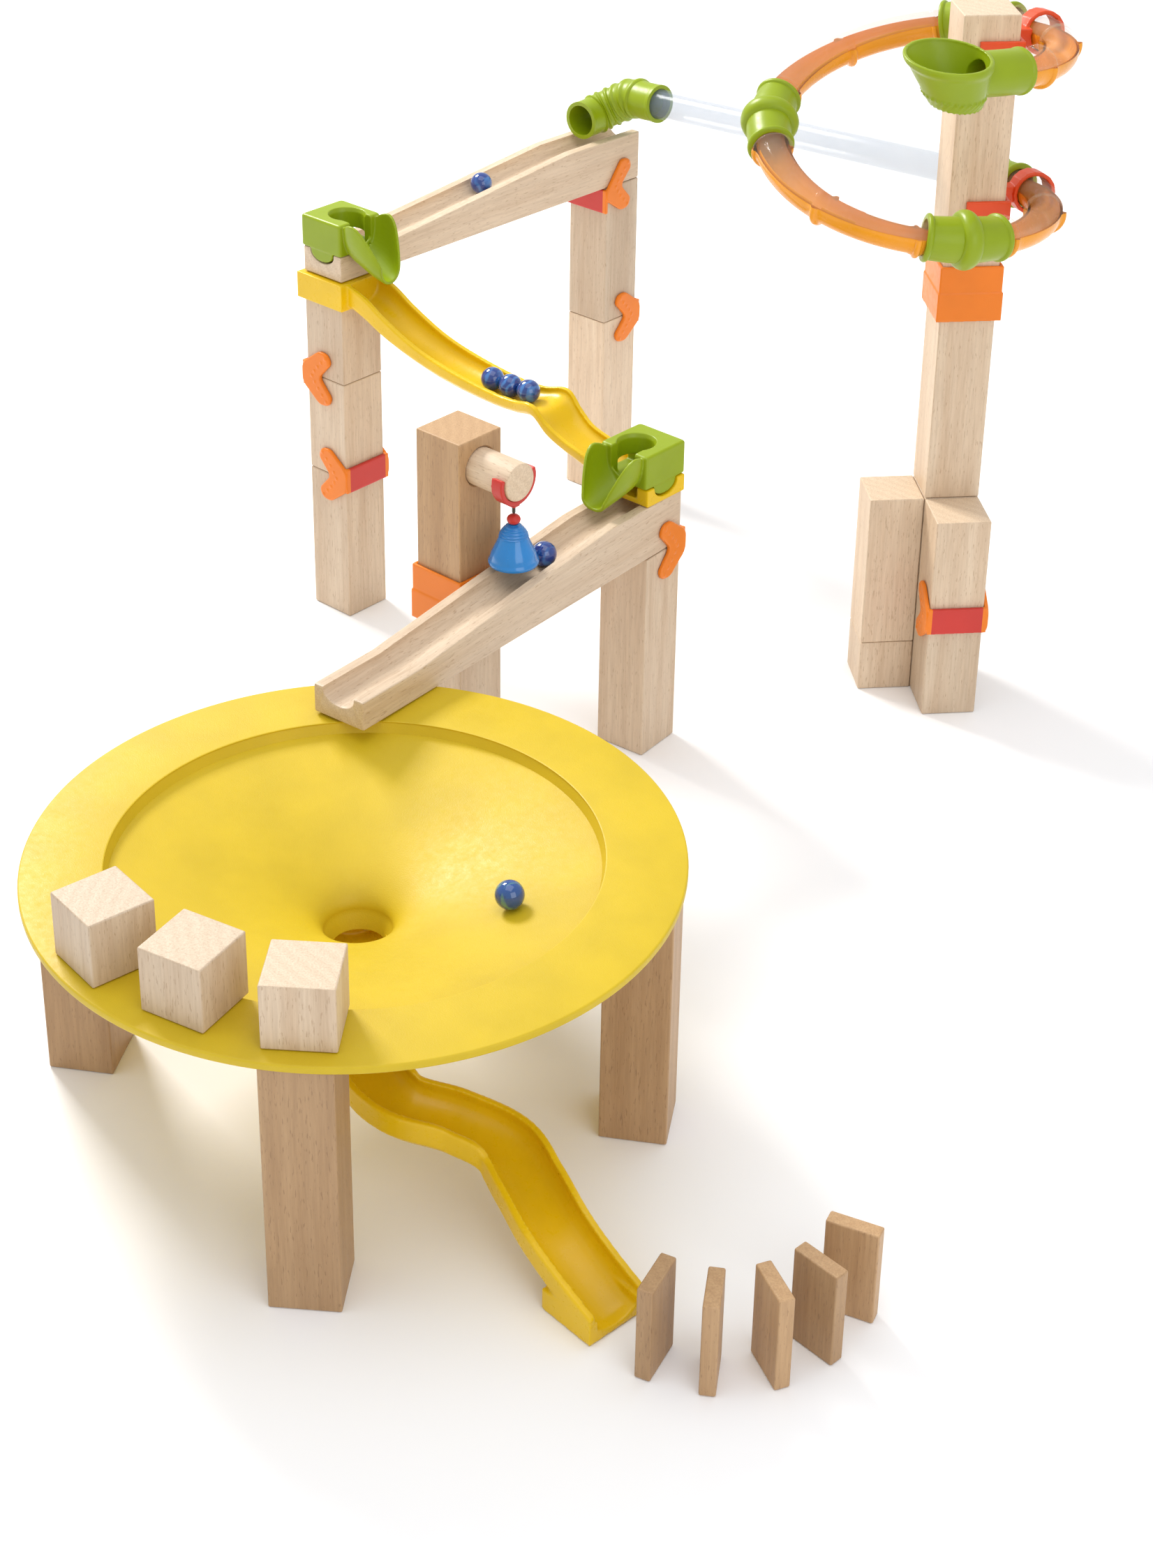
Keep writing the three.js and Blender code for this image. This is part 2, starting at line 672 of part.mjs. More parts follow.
// Clip over a joint between two blocks: a band on one face and a forked cheek on each side.
function towerClip(name, at, yaw, jointZ, bandLow = -10, bandHigh = 10) {
  const near = BLOCK / 2 + GAP;
  const out = near + 3;
  const band = box(near, out, -out, out, jointZ + bandLow, jointZ + bandHigh);
  const low = Math.max(bandLow, -11);
  const high = Math.min(bandHigh, 11);
  const fork = [
    [out, jointZ + low],
    [out, jointZ + high],
    [0, jointZ + 22],
    [-8, jointZ + 15],
    [5, jointZ],
    [-8, jointZ - 15],
    [0, jointZ - 22],
  ];
  const cheeks = [plate(fork, near, out), plate(fork, -out, -near)];
  add(name, join(band, ...cheeks), ORANGE, at, yaw);
}
towerClip("clip_tower_a_upper", TOWER_A, 180, 200);
towerClip("clip_tower_a_lower", TOWER_A, 0, 120);
towerClip("clip_tower_b_ramp", TOWER_B, -90, 280, -21, -1);
towerClip("clip_tower_b_lower", TOWER_B, 90, 160);
towerClip("clip_tower_c_ramp", TOWER_C, 90 + RAMP_LOWER_YAW, 160);
towerClip("clip_buttress_front", fromColumn(0, -BLOCK - GAP), TOWER_D_YAW - 90, 80);

// Dish: flat rim, step, and a bowl that steepens towards its open centre.
function dish() {
  const bowlZ = (r) => {
    const share = Math.max(r - DISH_HOLE, 0) / (DISH_STEP - 2 - DISH_HOLE);
    return DISH_BOWL_LOW + (DISH_BOWL_TOP - DISH_BOWL_LOW) * share ** 0.525;
  };
  const radii = [DISH_HOLE, 22, 27, 36, 48, 68, 100, DISH_STEP - 2];
  const upper = radii.map((r) => [r, bowlZ(r)]);
  const lower = radii.map((r) => [r + 2.2, bowlZ(r) - DISH_WALL]).reverse();
  const rim = [
    [DISH_STEP, DISH_TOP],
    [DISH_RADIUS - 1, DISH_TOP],
    [DISH_RADIUS, DISH_TOP - 1],
    [DISH_RADIUS, DISH_UNDER],
    [DISH_STEP + 2.8, DISH_UNDER],
  ];
  return lathe([...upper, ...rim, ...lower, [DISH_HOLE, DISH_BOWL_LOW - DISH_WALL]], 48);
}
add("dish", dish(), YELLOW, DISH_CENTRE);

const LEGS = [
  ["dish_leg_1", -148, 168],
  ["dish_leg_2", -53.4, 166],
  ["dish_leg_3", 31.8, 165.8],
  ["dish_leg_4", 122, 165.8],
];
for (const [name, bearing, distance] of LEGS) {
  const x = DISH_CENTRE[0] + distance * Math.cos(rad(bearing));
  const y = DISH_CENTRE[1] + distance * Math.sin(rad(bearing));
  block(name, [x, y], 0, 160, bearing);
}

const CUBES = [
  ["rim_cube_1", [409.4, -566.1], -8.7],
  ["rim_cube_2", [472.9, -559.1], 12.3],
  ["rim_cube_3", [530.3, -534.5], 37.6],
];
for (const [name, at, yaw] of CUBES) {
  block(name, at, DISH_TOP + GAP, BLOCK, yaw);
}

const DOMINOES = [
  ["domino_1", [706.7, -459], 15.5],
  ["domino_2", [734.7, -447], 33.1],
  ["domino_3", [754.9, -422.4], 62.8],
  ["domino_4", [762.8, -394.2], 85.3],
  ["domino_5", [760, -361], 107],
];
for (const [name, at, yaw] of DOMINOES) {
  const [t, w, h] = DOMINO;
  add(name, box(-t / 2, t / 2, -w / 2, w / 2, 0, h), WOOD, at, yaw);
}

function marble(name, x, y, z) {
  const ball = new THREE.IcosahedronGeometry(MARBLE_RADIUS, 2);
  add(name, ball, GLASS, [x, y], 0, z);
}
marble("marble_ramp", 0, 152, 313);
marble("marble_bell", 309.8, -112, 197.4);
marble("marble_dip_1", 156.2, 0, 241.8);
marble("marble_dip_2", 173.9, 0, 241.8);
marble("marble_dip_3", 191.6, 0, 242.9);
marble("marble_dish", 519, -369, 156.3);

// Put the origin under the middle of the whole object.
group.updateMatrixWorld(true);
const bounds = new THREE.Box3().setFromObject(group);
const middle = bounds.getCenter(new THREE.Vector3());
for (const mesh of group.children) {
  mesh.position.x -= middle.x;
  mesh.position.y -= middle.y;
}

export default group;
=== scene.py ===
"""Marble run of beech blocks, ramps, plastic slides and clear tubes, dressed over its CAD frame.

Lengths in this script are millimetres unless a name says otherwise. The plan is measured from the
foot of the ramp tower, as in the CAD part, and MM turns it into the frame's metres.
"""

import math
import random

import bmesh
import bpy
from mathutils import Matrix, Vector

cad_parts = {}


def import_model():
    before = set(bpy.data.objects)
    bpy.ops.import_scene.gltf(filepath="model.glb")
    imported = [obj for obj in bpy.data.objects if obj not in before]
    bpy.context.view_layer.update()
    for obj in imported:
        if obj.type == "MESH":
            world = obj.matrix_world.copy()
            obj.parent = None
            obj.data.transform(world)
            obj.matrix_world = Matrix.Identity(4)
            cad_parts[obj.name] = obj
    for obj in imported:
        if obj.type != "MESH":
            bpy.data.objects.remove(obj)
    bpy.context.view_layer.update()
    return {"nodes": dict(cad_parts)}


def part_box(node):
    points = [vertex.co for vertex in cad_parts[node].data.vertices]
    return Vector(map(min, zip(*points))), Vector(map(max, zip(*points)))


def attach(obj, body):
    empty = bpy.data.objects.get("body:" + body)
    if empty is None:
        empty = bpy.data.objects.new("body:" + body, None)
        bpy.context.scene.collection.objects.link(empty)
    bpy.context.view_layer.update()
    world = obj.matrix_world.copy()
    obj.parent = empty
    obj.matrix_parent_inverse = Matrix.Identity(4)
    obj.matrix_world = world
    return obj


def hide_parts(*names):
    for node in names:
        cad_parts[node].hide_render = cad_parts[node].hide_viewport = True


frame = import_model()
scene = bpy.context.scene
scene.view_settings.view_transform = "Standard"

MM = 0.001
tower_low, tower_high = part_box("tower_a_lower")
PLAN = Vector(((tower_low.x + tower_high.x) / 2, (tower_low.y + tower_high.y) / 2, 0))
GAP = 0.3  # clearance between pieces that touch
BLOCK = 40  # side of the square section of every block


def world(x, y, z=0):
    """A place on the plan, in the frame's metres."""
    return PLAN + Vector((x, y, z)) * MM


# -------- camera

CAMERA_AT = Vector((0.9635, -1.113, 1.012))  # metres
CAMERA_YAW = 0.72256  # radians, as are pitch and roll
CAMERA_PITCH = 0.45564
CAMERA_ROLL = 0.01573
CAMERA_LENS = 59.66
CAMERA_SHIFT_Y = -0.2


def make_camera():
    """Camera that looks down and over the run, a little rolled and shifted like the photo's."""
    cam = bpy.data.objects.new("camera", bpy.data.cameras.new("camera"))
    scene.collection.objects.link(cam)
    yaw, pitch, roll = CAMERA_YAW, CAMERA_PITCH, CAMERA_ROLL
    right = Vector((math.cos(yaw), math.sin(yaw), 0))
    ahead = Vector((-math.sin(yaw), math.cos(yaw), 0)) * math.cos(pitch)
    ahead.z = -math.sin(pitch)
    down = ahead.cross(right)
    across = right * math.cos(roll) - down * math.sin(roll)
    up = -(right * math.sin(roll) + down * math.cos(roll))
    turn = Matrix((across, up, -ahead)).transposed()
    cam.matrix_world = Matrix.Translation(CAMERA_AT) @ turn.to_4x4()
    cam.data.sensor_width = 36
    cam.data.lens = CAMERA_LENS
    cam.data.shift_y = CAMERA_SHIFT_Y
    cam.data.clip_start, cam.data.clip_end = 0.01, 50
    scene.camera = cam


make_camera()

# -------- materials


SEED_SPREAD = 7.3  # metres over which the pieces' own texture places are spread


class Nodes:
    """Small helper that adds nodes to a material and links them by name."""

    def __init__(self, name):
        self.material = bpy.data.materials.new(name)
        self.material.use_nodes = True
        self.tree = self.material.node_tree
        self.shader = self.tree.nodes["Principled BSDF"]

    def add(self, kind, inputs=None, **settings):
        """New shader node with its inputs fed and its settings set."""
        node = self.tree.nodes.new("ShaderNode" + kind)
        for key, value in settings.items():
            setattr(node, key, value)
        for key, value in (inputs or {}).items():
            self.feed(node.inputs[key], value)
        return node

    def feed(self, socket, value):
        """Links a socket to the input, or sets the input to a constant."""
        if isinstance(value, bpy.types.NodeSocket):
            self.tree.links.new(value, socket)
        else:
            socket.default_value = value

    def set(self, **values):
        """Feeds the main shader's inputs, with _ for a space in a name."""
        for key, value in values.items():
            self.feed(self.shader.inputs[key.replace("_", " ")], value)

    def math(self, operation, a, b=0.0):
        node = self.add("Math", operation=operation)
        self.feed(node.inputs[0], a)
        self.feed(node.inputs[1], b)
        return node.outputs[0]

    def ramp(self, fac, *stops):
        node = self.add("ValToRGB", {"Fac": fac})
        elements = node.color_ramp.elements
        while len(elements) < len(stops):
            elements.new(0.5)
        for element, (at, colour) in zip(elements, stops):
            element.position = at
            element.color = (*colour, 1) if len(colour) == 3 else colour
        return node.outputs["Color"]

    def greys(self, fac, *stops):
        """Ramp between grey levels, given as (position, level)."""
        return self.ramp(fac, *((at, (level,) * 3) for at, level in stops))

    def mix(self, fac, a, b, blend="MIX"):
        node = self.add("Mix", data_type="RGBA", blend_type=blend)
        self.feed(node.inputs["Factor"], fac)
        self.feed(node.inputs[6], a if isinstance(a, bpy.types.NodeSocket) else (*a, 1))
        self.feed(node.inputs[7], b if isinstance(b, bpy.types.NodeSocket) else (*b, 1))
        return node.outputs[2]

    def noise(self, vector, scale, detail=3.0, roughness=0.5):
        inputs = {"Vector": vector, "Scale": scale, "Detail": detail, "Roughness": roughness}
        return self.add("TexNoise", inputs).outputs["Fac"]

    def coords(self, stretch=(1, 1, 1), seeded=True):
        """Object coordinates in metres, stretched, and shifted by a number of the object's own."""
        place = self.add("TexCoord").outputs["Object"]
        mapping = self.add("Mapping", {"Vector": place, "Scale": stretch})
        if not seeded:
            return mapping.outputs[0]
        shift = self.math("MULTIPLY", self.add("ObjectInfo").outputs["Random"], SEED_SPREAD)
        moved = self.add("VectorMath", operation="ADD")
        self.feed(moved.inputs[0], mapping.outputs[0])
        self.feed(moved.inputs[1], shift)
        return moved.outputs[0]

    def bump(self, height, distance, strength=1.0, normal=None):
        inputs = {"Height": height, "Distance": distance, "Strength": strength}
        node = self.add("Bump", inputs)
        if normal is not None:
            self.feed(node.inputs["Normal"], normal)
        return node.outputs[0]


# Shades of one wood: pale ground, middle bands, dark flecks
PALE_BEECH = ((0.70, 0.555, 0.40), (0.59, 0.43, 0.285), (0.35, 0.215, 0.12))
# The darker beech is partly the wood's own warmer tone and partly painted shade: a darker copy of
# the beech, matched to the legs under the dish and to the dominoes' shaded faces
WARM_AND_SHADED_BEECH = ((0.52, 0.325, 0.165), (0.42, 0.245, 0.115), (0.24, 0.125, 0.055))


def end_grain(n, along, pale, middle):
    """Growth rings round the wood's long axis, with open pores."""
    rings = n.add(
        "TexWave",
        {"Vector": n.coords(), "Scale": 42.0, "Distortion": 3.0, "Detail": 2.0, "Detail Scale": 1.2},
        wave_type="RINGS",
        rings_direction=along,
    )
    ring = tuple(0.7 * a + 0.3 * b for a, b in zip(pale, middle))
    cut = n.ramp(rings.outputs["Fac"], (0.0, ring), (1.0, pale))
    pores = n.noise(n.coords(), 900, 3, 0.6)
    return n.mix(0.8, cut, n.ramp(pores, (0.36, (0.80, 0.77, 0.73)), (0.6, (1, 1, 1))), "MULTIPLY")


def beech(name, along, shades=PALE_BEECH):
    """Beech: broad bands, fine fibres and short dark flecks along one axis, rings on end grain."""
    n = Nodes(name)
    pale, middle, dark = shades
    thin = {"X": (0.05, 1, 1), "Y": (1, 0.05, 1), "Z": (1, 1, 0.05)}[along]
    fleck = {"X": (0.16, 1, 1), "Y": (1, 0.16, 1), "Z": (1, 1, 0.16)}[along]
    fibres = n.noise(n.coords(thin), 620, 5, 0.65)
    bands = n.noise(n.coords(thin), 85, 3, 0.55)
    clouds = n.noise(n.coords(), 14, 2, 0.5)
    flecks = n.noise(n.coords(fleck), 1150, 2, 0.4)
    base = n.mix(n.greys(bands, (0.35, 0), (0.68, 1)), pale, middle)
    base = n.mix(n.math("MULTIPLY", clouds, 0.35), base, pale)
    streak = n.ramp(fibres, (0.30, (0.80, 0.77, 0.74)), (0.62, (1, 1, 1)))
    base = n.mix(0.8, base, streak, "MULTIPLY")
    mark = n.greys(flecks, (0.63, 0), (0.70, 1))
    base = n.mix(n.math("MULTIPLY", mark, 0.45), base, dark)
    normal = n.add("TexCoord").outputs["Normal"]
    axes = n.add("SeparateXYZ", {"Vector": normal})
    is_end = n.math("GREATER_THAN", n.math("ABSOLUTE", axes.outputs[along]), 0.85)
    base = n.mix(is_end, base, end_grain(n, along, pale, middle))
    tint = n.math("MULTIPLY_ADD", n.add("ObjectInfo").outputs["Random"], 0.22)
    tint.node.inputs[2].default_value = 0.86
    shade = n.add("CombineColor", {"Red": tint, "Green": tint, "Blue": tint})
    base = n.mix(1.0, base, shade.outputs[0], "MULTIPLY")
    grain = n.math("ADD", fibres, n.math("MULTIPLY", mark, -0.6))
    rough = n.greys(fibres, (0.2, 0.42), (0.8, 0.58))
    n.set(Base_Color=base, Roughness=rough, Normal=n.bump(grain, 0.00025, 0.5))
    return n.material


def plastic(name, colour, rough=0.3, grain=900, relief=0.00004, glow=0.08):
    """Moulded plastic: faint clouding of the colour, uneven gloss and a fine mould texture."""
    n = Nodes(name)
    place = n.coords()
    clouds = n.noise(place, 24, 3, 0.5)
    deep = tuple(c * 0.90 for c in colour)
    base = n.mix(n.greys(clouds, (0.35, 0), (0.7, 1)), colour, deep)
    scuffs = n.noise(place, 190, 4, 0.7)
    gloss = n.greys(scuffs, (0.35, rough - 0.05), (0.7, rough + 0.09))
    texture = n.noise(place, grain, 2, 0.5)
    waves = n.noise(place, 60, 2, 0.5)
    normal = n.bump(waves, 0.00025, 0.35)
    normal = n.bump(texture, relief, 0.6, normal)
    n.set(Base_Color=base, Roughness=gloss, Normal=normal)
    n.shader.inputs["Specular IOR Level"].default_value = 0.36
    n.shader.inputs["Subsurface Weight"].default_value = glow
    n.shader.inputs["Subsurface Radius"].default_value = (0.004, 0.003, 0.001)
    n.shader.inputs["Subsurface Scale"].default_value = 1.0
    return n.material


def clear_plastic(name, colour, alpha):
    """Clear plastic, seen through by its alpha, with a faint haze and small differences in gloss."""
    n = Nodes(name)
    place = n.coords()
    haze = n.noise(place, 35, 3, 0.5)
    pale = tuple(0.8 * c + 0.15 for c in colour)
    base = n.mix(n.greys(haze, (0.3, 0), (0.75, 1)), colour, pale)
    gloss = n.greys(n.noise(place, 160, 4, 0.7), (0.35, 0.06), (0.75, 0.16))
    n.set(Base_Color=base, Roughness=gloss, Normal=n.bump(haze, 0.0002, 0.3))
    n.shader.inputs["Alpha"].default_value = alpha
    n.shader.inputs["IOR"].default_value = 1.49
    n.material.surface_render_method = "BLENDED"
    return n.material


def marble_glass(name, colour, swirl_colour):
    """Deep coloured glass with lighter swirls and a clear glossy skin."""
    n = Nodes(name)
    place = n.coords()
    bend = n.noise(place, 60, 2, 0.5)
    swirl = n.add("TexWave", {"Vector": place, "Scale": 45.0, "Distortion": 9.0, "Detail": 3.0})
    mask = n.math("MULTIPLY", swirl.outputs["Fac"], bend)
    base = n.mix(n.greys(mask, (0.26, 0), (0.55, 1)), colour, swirl_colour)
    chips = n.greys(n.noise(place, 420, 3, 0.6), (0.45, 0.03), (0.8, 0.12))
    n.set(Base_Color=base, Roughness=chips)
    n.shader.inputs["IOR"].default_value = 1.52
    n.shader.inputs["Transmission Weight"].default_value = 0.15
    n.shader.inputs["Coat Weight"].default_value = 0.8
    n.shader.inputs["Coat Roughness"].default_value = 0.03
    return n.material


def enamel(name, colour):
    """Painted metal: clouded colour under a glossy coat."""
    n = Nodes(name)
    place = n.coords()
    clouds = n.noise(place, 60, 3, 0.5)
    base = n.mix(clouds, colour, tuple(c * 0.75 for c in colour))
    gloss = n.greys(n.noise(place, 500, 4, 0.6), (0.4, 0.16), (0.75, 0.30))
    n.set(Base_Color=base, Roughness=gloss, Normal=n.bump(clouds, 0.0002, 0.4))
    n.shader.inputs["Coat Weight"].default_value = 0.6
    n.shader.inputs["Coat Roughness"].default_value = 0.08
    return n.material


BEECH_Z = beech("beech_upright", "Z")
# Darker beech with painted shade in its colour, for the dish's legs, the dominoes and the bell
# tower's upper block
BEECH_WARM_AND_SHADED = beech("beech_upright_warm_and_shaded", "Z", WARM_AND_SHADED_BEECH)
BEECH_Y = beech("beech_lying", "Y")
BEECH_X = beech("beech_dowel", "X")
YELLOW = plastic("yellow_plastic", (0.80, 0.515, 0.004), 0.30)
YELLOW_DISH = plastic("yellow_dish_plastic", (0.62, 0.44, 0.012), 0.46, 1400, 0.00016)
GREEN = plastic("green_plastic", (0.27, 0.36, 0.004), 0.36, 800, 0.00005, 0.05)
ORANGE = plastic("orange_plastic", (0.82, 0.205, 0.008), 0.34)
RED = plastic("red_plastic", (0.56, 0.035, 0.025), 0.33)
TUBE_CLIP = plastic("tube_clip_plastic", (0.72, 0.075, 0.015), 0.33)
TUBE_ORANGE = plastic("tube_orange_plastic", (0.84, 0.33, 0.02), 0.22, 700, 0.00003, 0.0)
TUBE_CLEAR = clear_plastic("tube_clear_plastic", (0.78, 0.60, 0.42), 0.12)
TUBE_GLASSY = clear_plastic("straight_tube_plastic", (0.30, 0.37, 0.46), 0.2)
BELL_BLUE = enamel("bell_enamel", (0.002, 0.22, 0.62))
WIRE = enamel("black_wire", (0.012, 0.012, 0.014))
GLASS_BLUE = marble_glass("marble_blue_glass", (0.008, 0.045, 0.26), (0.05, 0.20, 0.55))
GLASS_MIXED = marble_glass("marble_mottled_glass", (0.006, 0.07, 0.30), (0.16, 0.40, 0.22))

# -------- mesh helpers


def add_piece(name, mesh, material, node, body="track", at=(0, 0, 0), yaw=0.0):
    """Puts a mesh, in metres round its own origin, into the scene as a piece of the object."""
    obj = bpy.data.objects.new(name, mesh)
    scene.collection.objects.link(obj)
    obj.location = world(*at)
    obj.rotation_euler.z = math.radians(yaw)
    for one in material if isinstance(material, (list, tuple)) else [material]:
        mesh.materials.append(one)
    bpy.context.view_layer.update()
    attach(obj, body)
    if node:
        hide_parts(node)
    return obj


def mesh_from(points, faces, smooth=35):
    """Mesh from points in millimetres, facing out, smooth except over edges above an angle."""
    mesh = bpy.data.meshes.new("mesh")
    mesh.from_pydata([tuple(Vector(p) * MM) for p in points], [], faces)
    bm = bmesh.new()
    bm.from_mesh(mesh)
    bmesh.ops.remove_doubles(bm, verts=bm.verts, dist=1e-6)
    bmesh.ops.recalc_face_normals(bm, faces=bm.faces)
    bm.to_mesh(mesh)
    bm.free()
    if smooth:
        mesh.shade_smooth()
        mesh.set_sharp_from_angle(angle=math.radians(smooth))
    return mesh


def skin(faces, start, other, count):
    """Adds the faces between two closed rings of points, each given by its first index."""
    for i in range(count):
        j = (i + 1) % count
        faces.append((start + i, start + j, other + j, other + i))


def loft(rings):
    """Closed solid through rings of points, as points and faces."""
    count = len(rings[0])
    points = [p for ring in rings for p in ring]
    faces = []
    for r in range(len(rings) - 1):
        skin(faces, r * count, (r + 1) * count, count)
    faces.append(tuple(range(count)))
    faces.append(tuple(range(len(points) - count, len(points))))
    return points, faces


def lathe(profile, segments):
    """Solid of revolution from a closed outline of (radius, height)."""
    points, faces = [], []
    count = len(profile)
    for s in range(segments):
        turn = 2 * math.pi * s / segments
        points += [(r * math.cos(turn), r * math.sin(turn), z) for r, z in profile]
    for s in range(segments):
        skin(faces, s * count, (s + 1) % segments * count, count)
    return points, faces


def box_shell(x0, x1, y0, y1, z0, z1):
    """Closed box between its bounds, as points and faces."""
    ring = [(x0, y0), (x1, y0), (x1, y1), (x0, y1)]
    return loft([[(x, y, z) for x, y in ring] for z in (z0, z1)])


CORNER_STEPS = 4
CORNER_POINTS = CORNER_STEPS + 1


def rounded(points, radius, steps=CORNER_STEPS):
    """Closed outline with its corners rounded, each by steps + 1 points."""
    out = []
    count = len(points)
    for i, (x, y) in enumerate(points):
        here = Vector((x, y))
        back = Vector(points[i - 1]) - here
        ahead = Vector(points[(i + 1) % count]) - here
        reach = min(radius, back.length * 0.45, ahead.length * 0.45)
        a, b = here + back.normalized() * reach, here + ahead.normalized() * reach
        for k in range(steps + 1):
            t = k / steps
            out.append(tuple(a * (1 - t) ** 2 + here * 2 * t * (1 - t) + b * t**2))
    return out


def catmull_rom(a, b, c, d, t):
    """Value between b and c, with a before them and d after."""
    square = (2 * a - 5 * b + 4 * c - d) * t * t
    cube = (3 * b - a - 3 * c + d) * t**3
    return 0.5 * (2 * b + (c - a) * t + square + cube)


def smooth_steps(knots, per_span):
    """Smooth curve through knots, each a tuple of numbers."""
    out = []
    ends = [knots[0], *knots, knots[-1]]
    for i in range(1, len(ends) - 2):
        near = list(zip(*ends[i - 1 : i + 3]))
        for k in range(per_span):
            out.append(tuple(catmull_rom(*four, k / per_span) for four in near))
    out.append(tuple(knots[-1]))
    return out


def gathered(shells):
    """Several closed shells as one set of points and faces."""
    points, faces = [], []
    for shell_points, shell_faces in shells:
        start = len(points)
        points += shell_points
        faces += [tuple(start + i for i in face) for face in shell_faces]
    return points, faces


def melt(shells, voxel, rounds, origin=(0, 0, 0)):
    """One soft-edged moulding from overlapping closed shells: voxel union, then smoothing."""
    mesh = bpy.data.meshes.new("shells")
    points, faces = gathered(shells)
    mesh.from_pydata([tuple((Vector(p) - Vector(origin)) * MM) for p in points], [], faces)
    return soften(mesh, voxel, rounds)


def soften(mesh, voxel, rounds):
    """Remeshes a closed mesh into voxels and relaxes them, which rounds every edge a little."""
    temp = bpy.data.objects.new("temp", mesh)
    scene.collection.objects.link(temp)
    bm = bmesh.new()
    bm.from_mesh(mesh)
    bmesh.ops.recalc_face_normals(bm, faces=bm.faces)
    bm.to_mesh(mesh)
    bm.free()
    remesh = temp.modifiers.new("remesh", "REMESH")
    remesh.mode = "VOXEL"
    remesh.voxel_size = voxel * MM
    relax = temp.modifiers.new("relax", "SMOOTH")
    relax.factor = 0.5
    relax.iterations = rounds
    done = bpy.data.meshes.new_from_object(temp.evaluated_get(bpy.context.evaluated_depsgraph_get()))
    bpy.data.objects.remove(temp)
    done.shade_smooth()
    return done


def temp_object(points, faces):
    """Object for a boolean, which is removed after it."""
    obj = bpy.data.objects.new("temp", mesh_from(points, faces, smooth=0))
    scene.collection.objects.link(obj)
    return obj


def carve(solids, cutters, added, voxel, rounds):
    """Union of solids less the cutters, joined to what is added, softened into one moulding."""
    base = temp_object(*gathered(solids))
    if len(solids) > 1:
        union = base.modifiers.new("union", "REMESH")
        union.mode, union.voxel_size = "VOXEL", voxel * MM
    tools = []
    for shell in cutters:
        tool = temp_object(*shell)
        hole = base.modifiers.new("hole", "BOOLEAN")
        hole.object, hole.operation, hole.solver = tool, "DIFFERENCE", "EXACT"
        tools.append(tool)
    bpy.context.view_layer.update()
    graph = bpy.context.evaluated_depsgraph_get()
    mesh = bpy.data.meshes.new_from_object(base.evaluated_get(graph))
    bm = bmesh.new()
    bm.from_mesh(mesh)
    for shell in added:
        bm.from_mesh(mesh_from(*shell, smooth=0))
    bm.to_mesh(mesh)
    bm.free()
    for obj in [base, *tools]:
        bpy.data.objects.remove(obj)
    return soften(mesh, voxel, rounds)


def moved(shell, matrix):
    """Shell with its points taken through a matrix."""
    return [matrix @ Vector(p) for p in shell[0]], shell[1]


def soft_copy(node, voxel=0.8, rounds=3):
    """Softened copy of a CAD node's mesh, in the frame's own coordinates."""
    mesh = frame["nodes"][node].data.copy()
    mesh.materials.clear()
    return soften(mesh, voxel, rounds)


def add_moulding(name, mesh, material, node):
    """Adds a mesh given in the frame's coordinates, with its origin moved to its middle."""
    low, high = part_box(node)
    middle = (low + high) / 2
    mesh.transform(Matrix.Translation(-middle))
    at = (middle - PLAN) / MM
    return add_piece(name, mesh, material, node, at=tuple(at))


# -------- wood


def block_mesh(width, depth, height, edge=1.1):
    """Block round its own middle, with rounded edges."""
    bm = bmesh.new()
    bmesh.ops.create_cube(bm, size=1)
    bmesh.ops.scale(bm, vec=Vector((width, depth, height)) * MM, verts=bm.verts)
    edges = list(bm.edges)
    bmesh.ops.bevel(bm, geom=edges, offset=edge * MM, segments=4, profile=0.5, affect="EDGES")
    mesh = bpy.data.meshes.new("block")
    bm.to_mesh(mesh)
    bm.free()
    mesh.shade_smooth()
    return mesh


def weigh_normals(obj):
    """Keeps a block's flat faces flat under smooth shading."""
    obj.modifiers.new("flat faces", "WEIGHTED_NORMAL").keep_sharp = True


def block(
    name, at, z0, height, yaw=0.0, node=None, body="track", size=(BLOCK, BLOCK), wood=BEECH_Z
):
    """Standing block; its node is its own name, unless two blocks share a node."""
    tall = height - GAP
    mesh = block_mesh(*size, tall)
    middle = (*at, z0 + tall / 2)
    weigh_normals(add_piece(name, mesh, wood, node or name, body, middle, yaw))


TOWER_A, TOWER_B, TOWER_C = (0, 0), (0, 300), (300, 0)
BELL_TOWER = (257, -139)
COLUMN, COLUMN_YAW = (405.8, 223.4), 47.8
RAMP_LOWER_YAW = 5
DISH_CENTRE = (436, -408)
PLATE = 3  # thickness of the collars' partitions


def from_column(u, w):
    """A place given along the column's own two sides, on the plan."""
    turn = math.radians(COLUMN_YAW)
    x = COLUMN[0] + u * math.cos(turn) - w * math.sin(turn)
    y = COLUMN[1] + u * math.sin(turn) + w * math.cos(turn)
    return x, y


LEFT, FRONT = from_column(-BLOCK - GAP, 0), from_column(0, -BLOCK - GAP)
block("tower_a_lower", TOWER_A, 0, 120)
block("tower_a_middle", TOWER_A, 120, 80, node="tower_a_upper")
block("tower_a_top", TOWER_A, 200, 80, node="tower_a_upper")
block("tower_b_lower", TOWER_B, 0, 160)
block("tower_b_upper", TOWER_B, 160, 120)
block("tower_c_block", TOWER_C, 0, 160, RAMP_LOWER_YAW)
block("bell_tower_lower", BELL_TOWER, 0, 160)
block("column_foot", COLUMN, 0, 160, COLUMN_YAW, "column_lower")
block("column_middle", COLUMN, 160, 160, COLUMN_YAW, "column_lower")
block("column_top", COLUMN, 320 + PLATE, 200, COLUMN_YAW)
block("buttress_left_cube", LEFT, 0, 40, COLUMN_YAW, "buttress_left")
block("buttress_left_block", LEFT, 40, 120, COLUMN_YAW, "buttress_left")
block("buttress_front_lower", FRONT, 0, 80, COLUMN_YAW, "buttress_front")
block("buttress_front_upper", FRONT, 80, 80, COLUMN_YAW, "buttress_front")

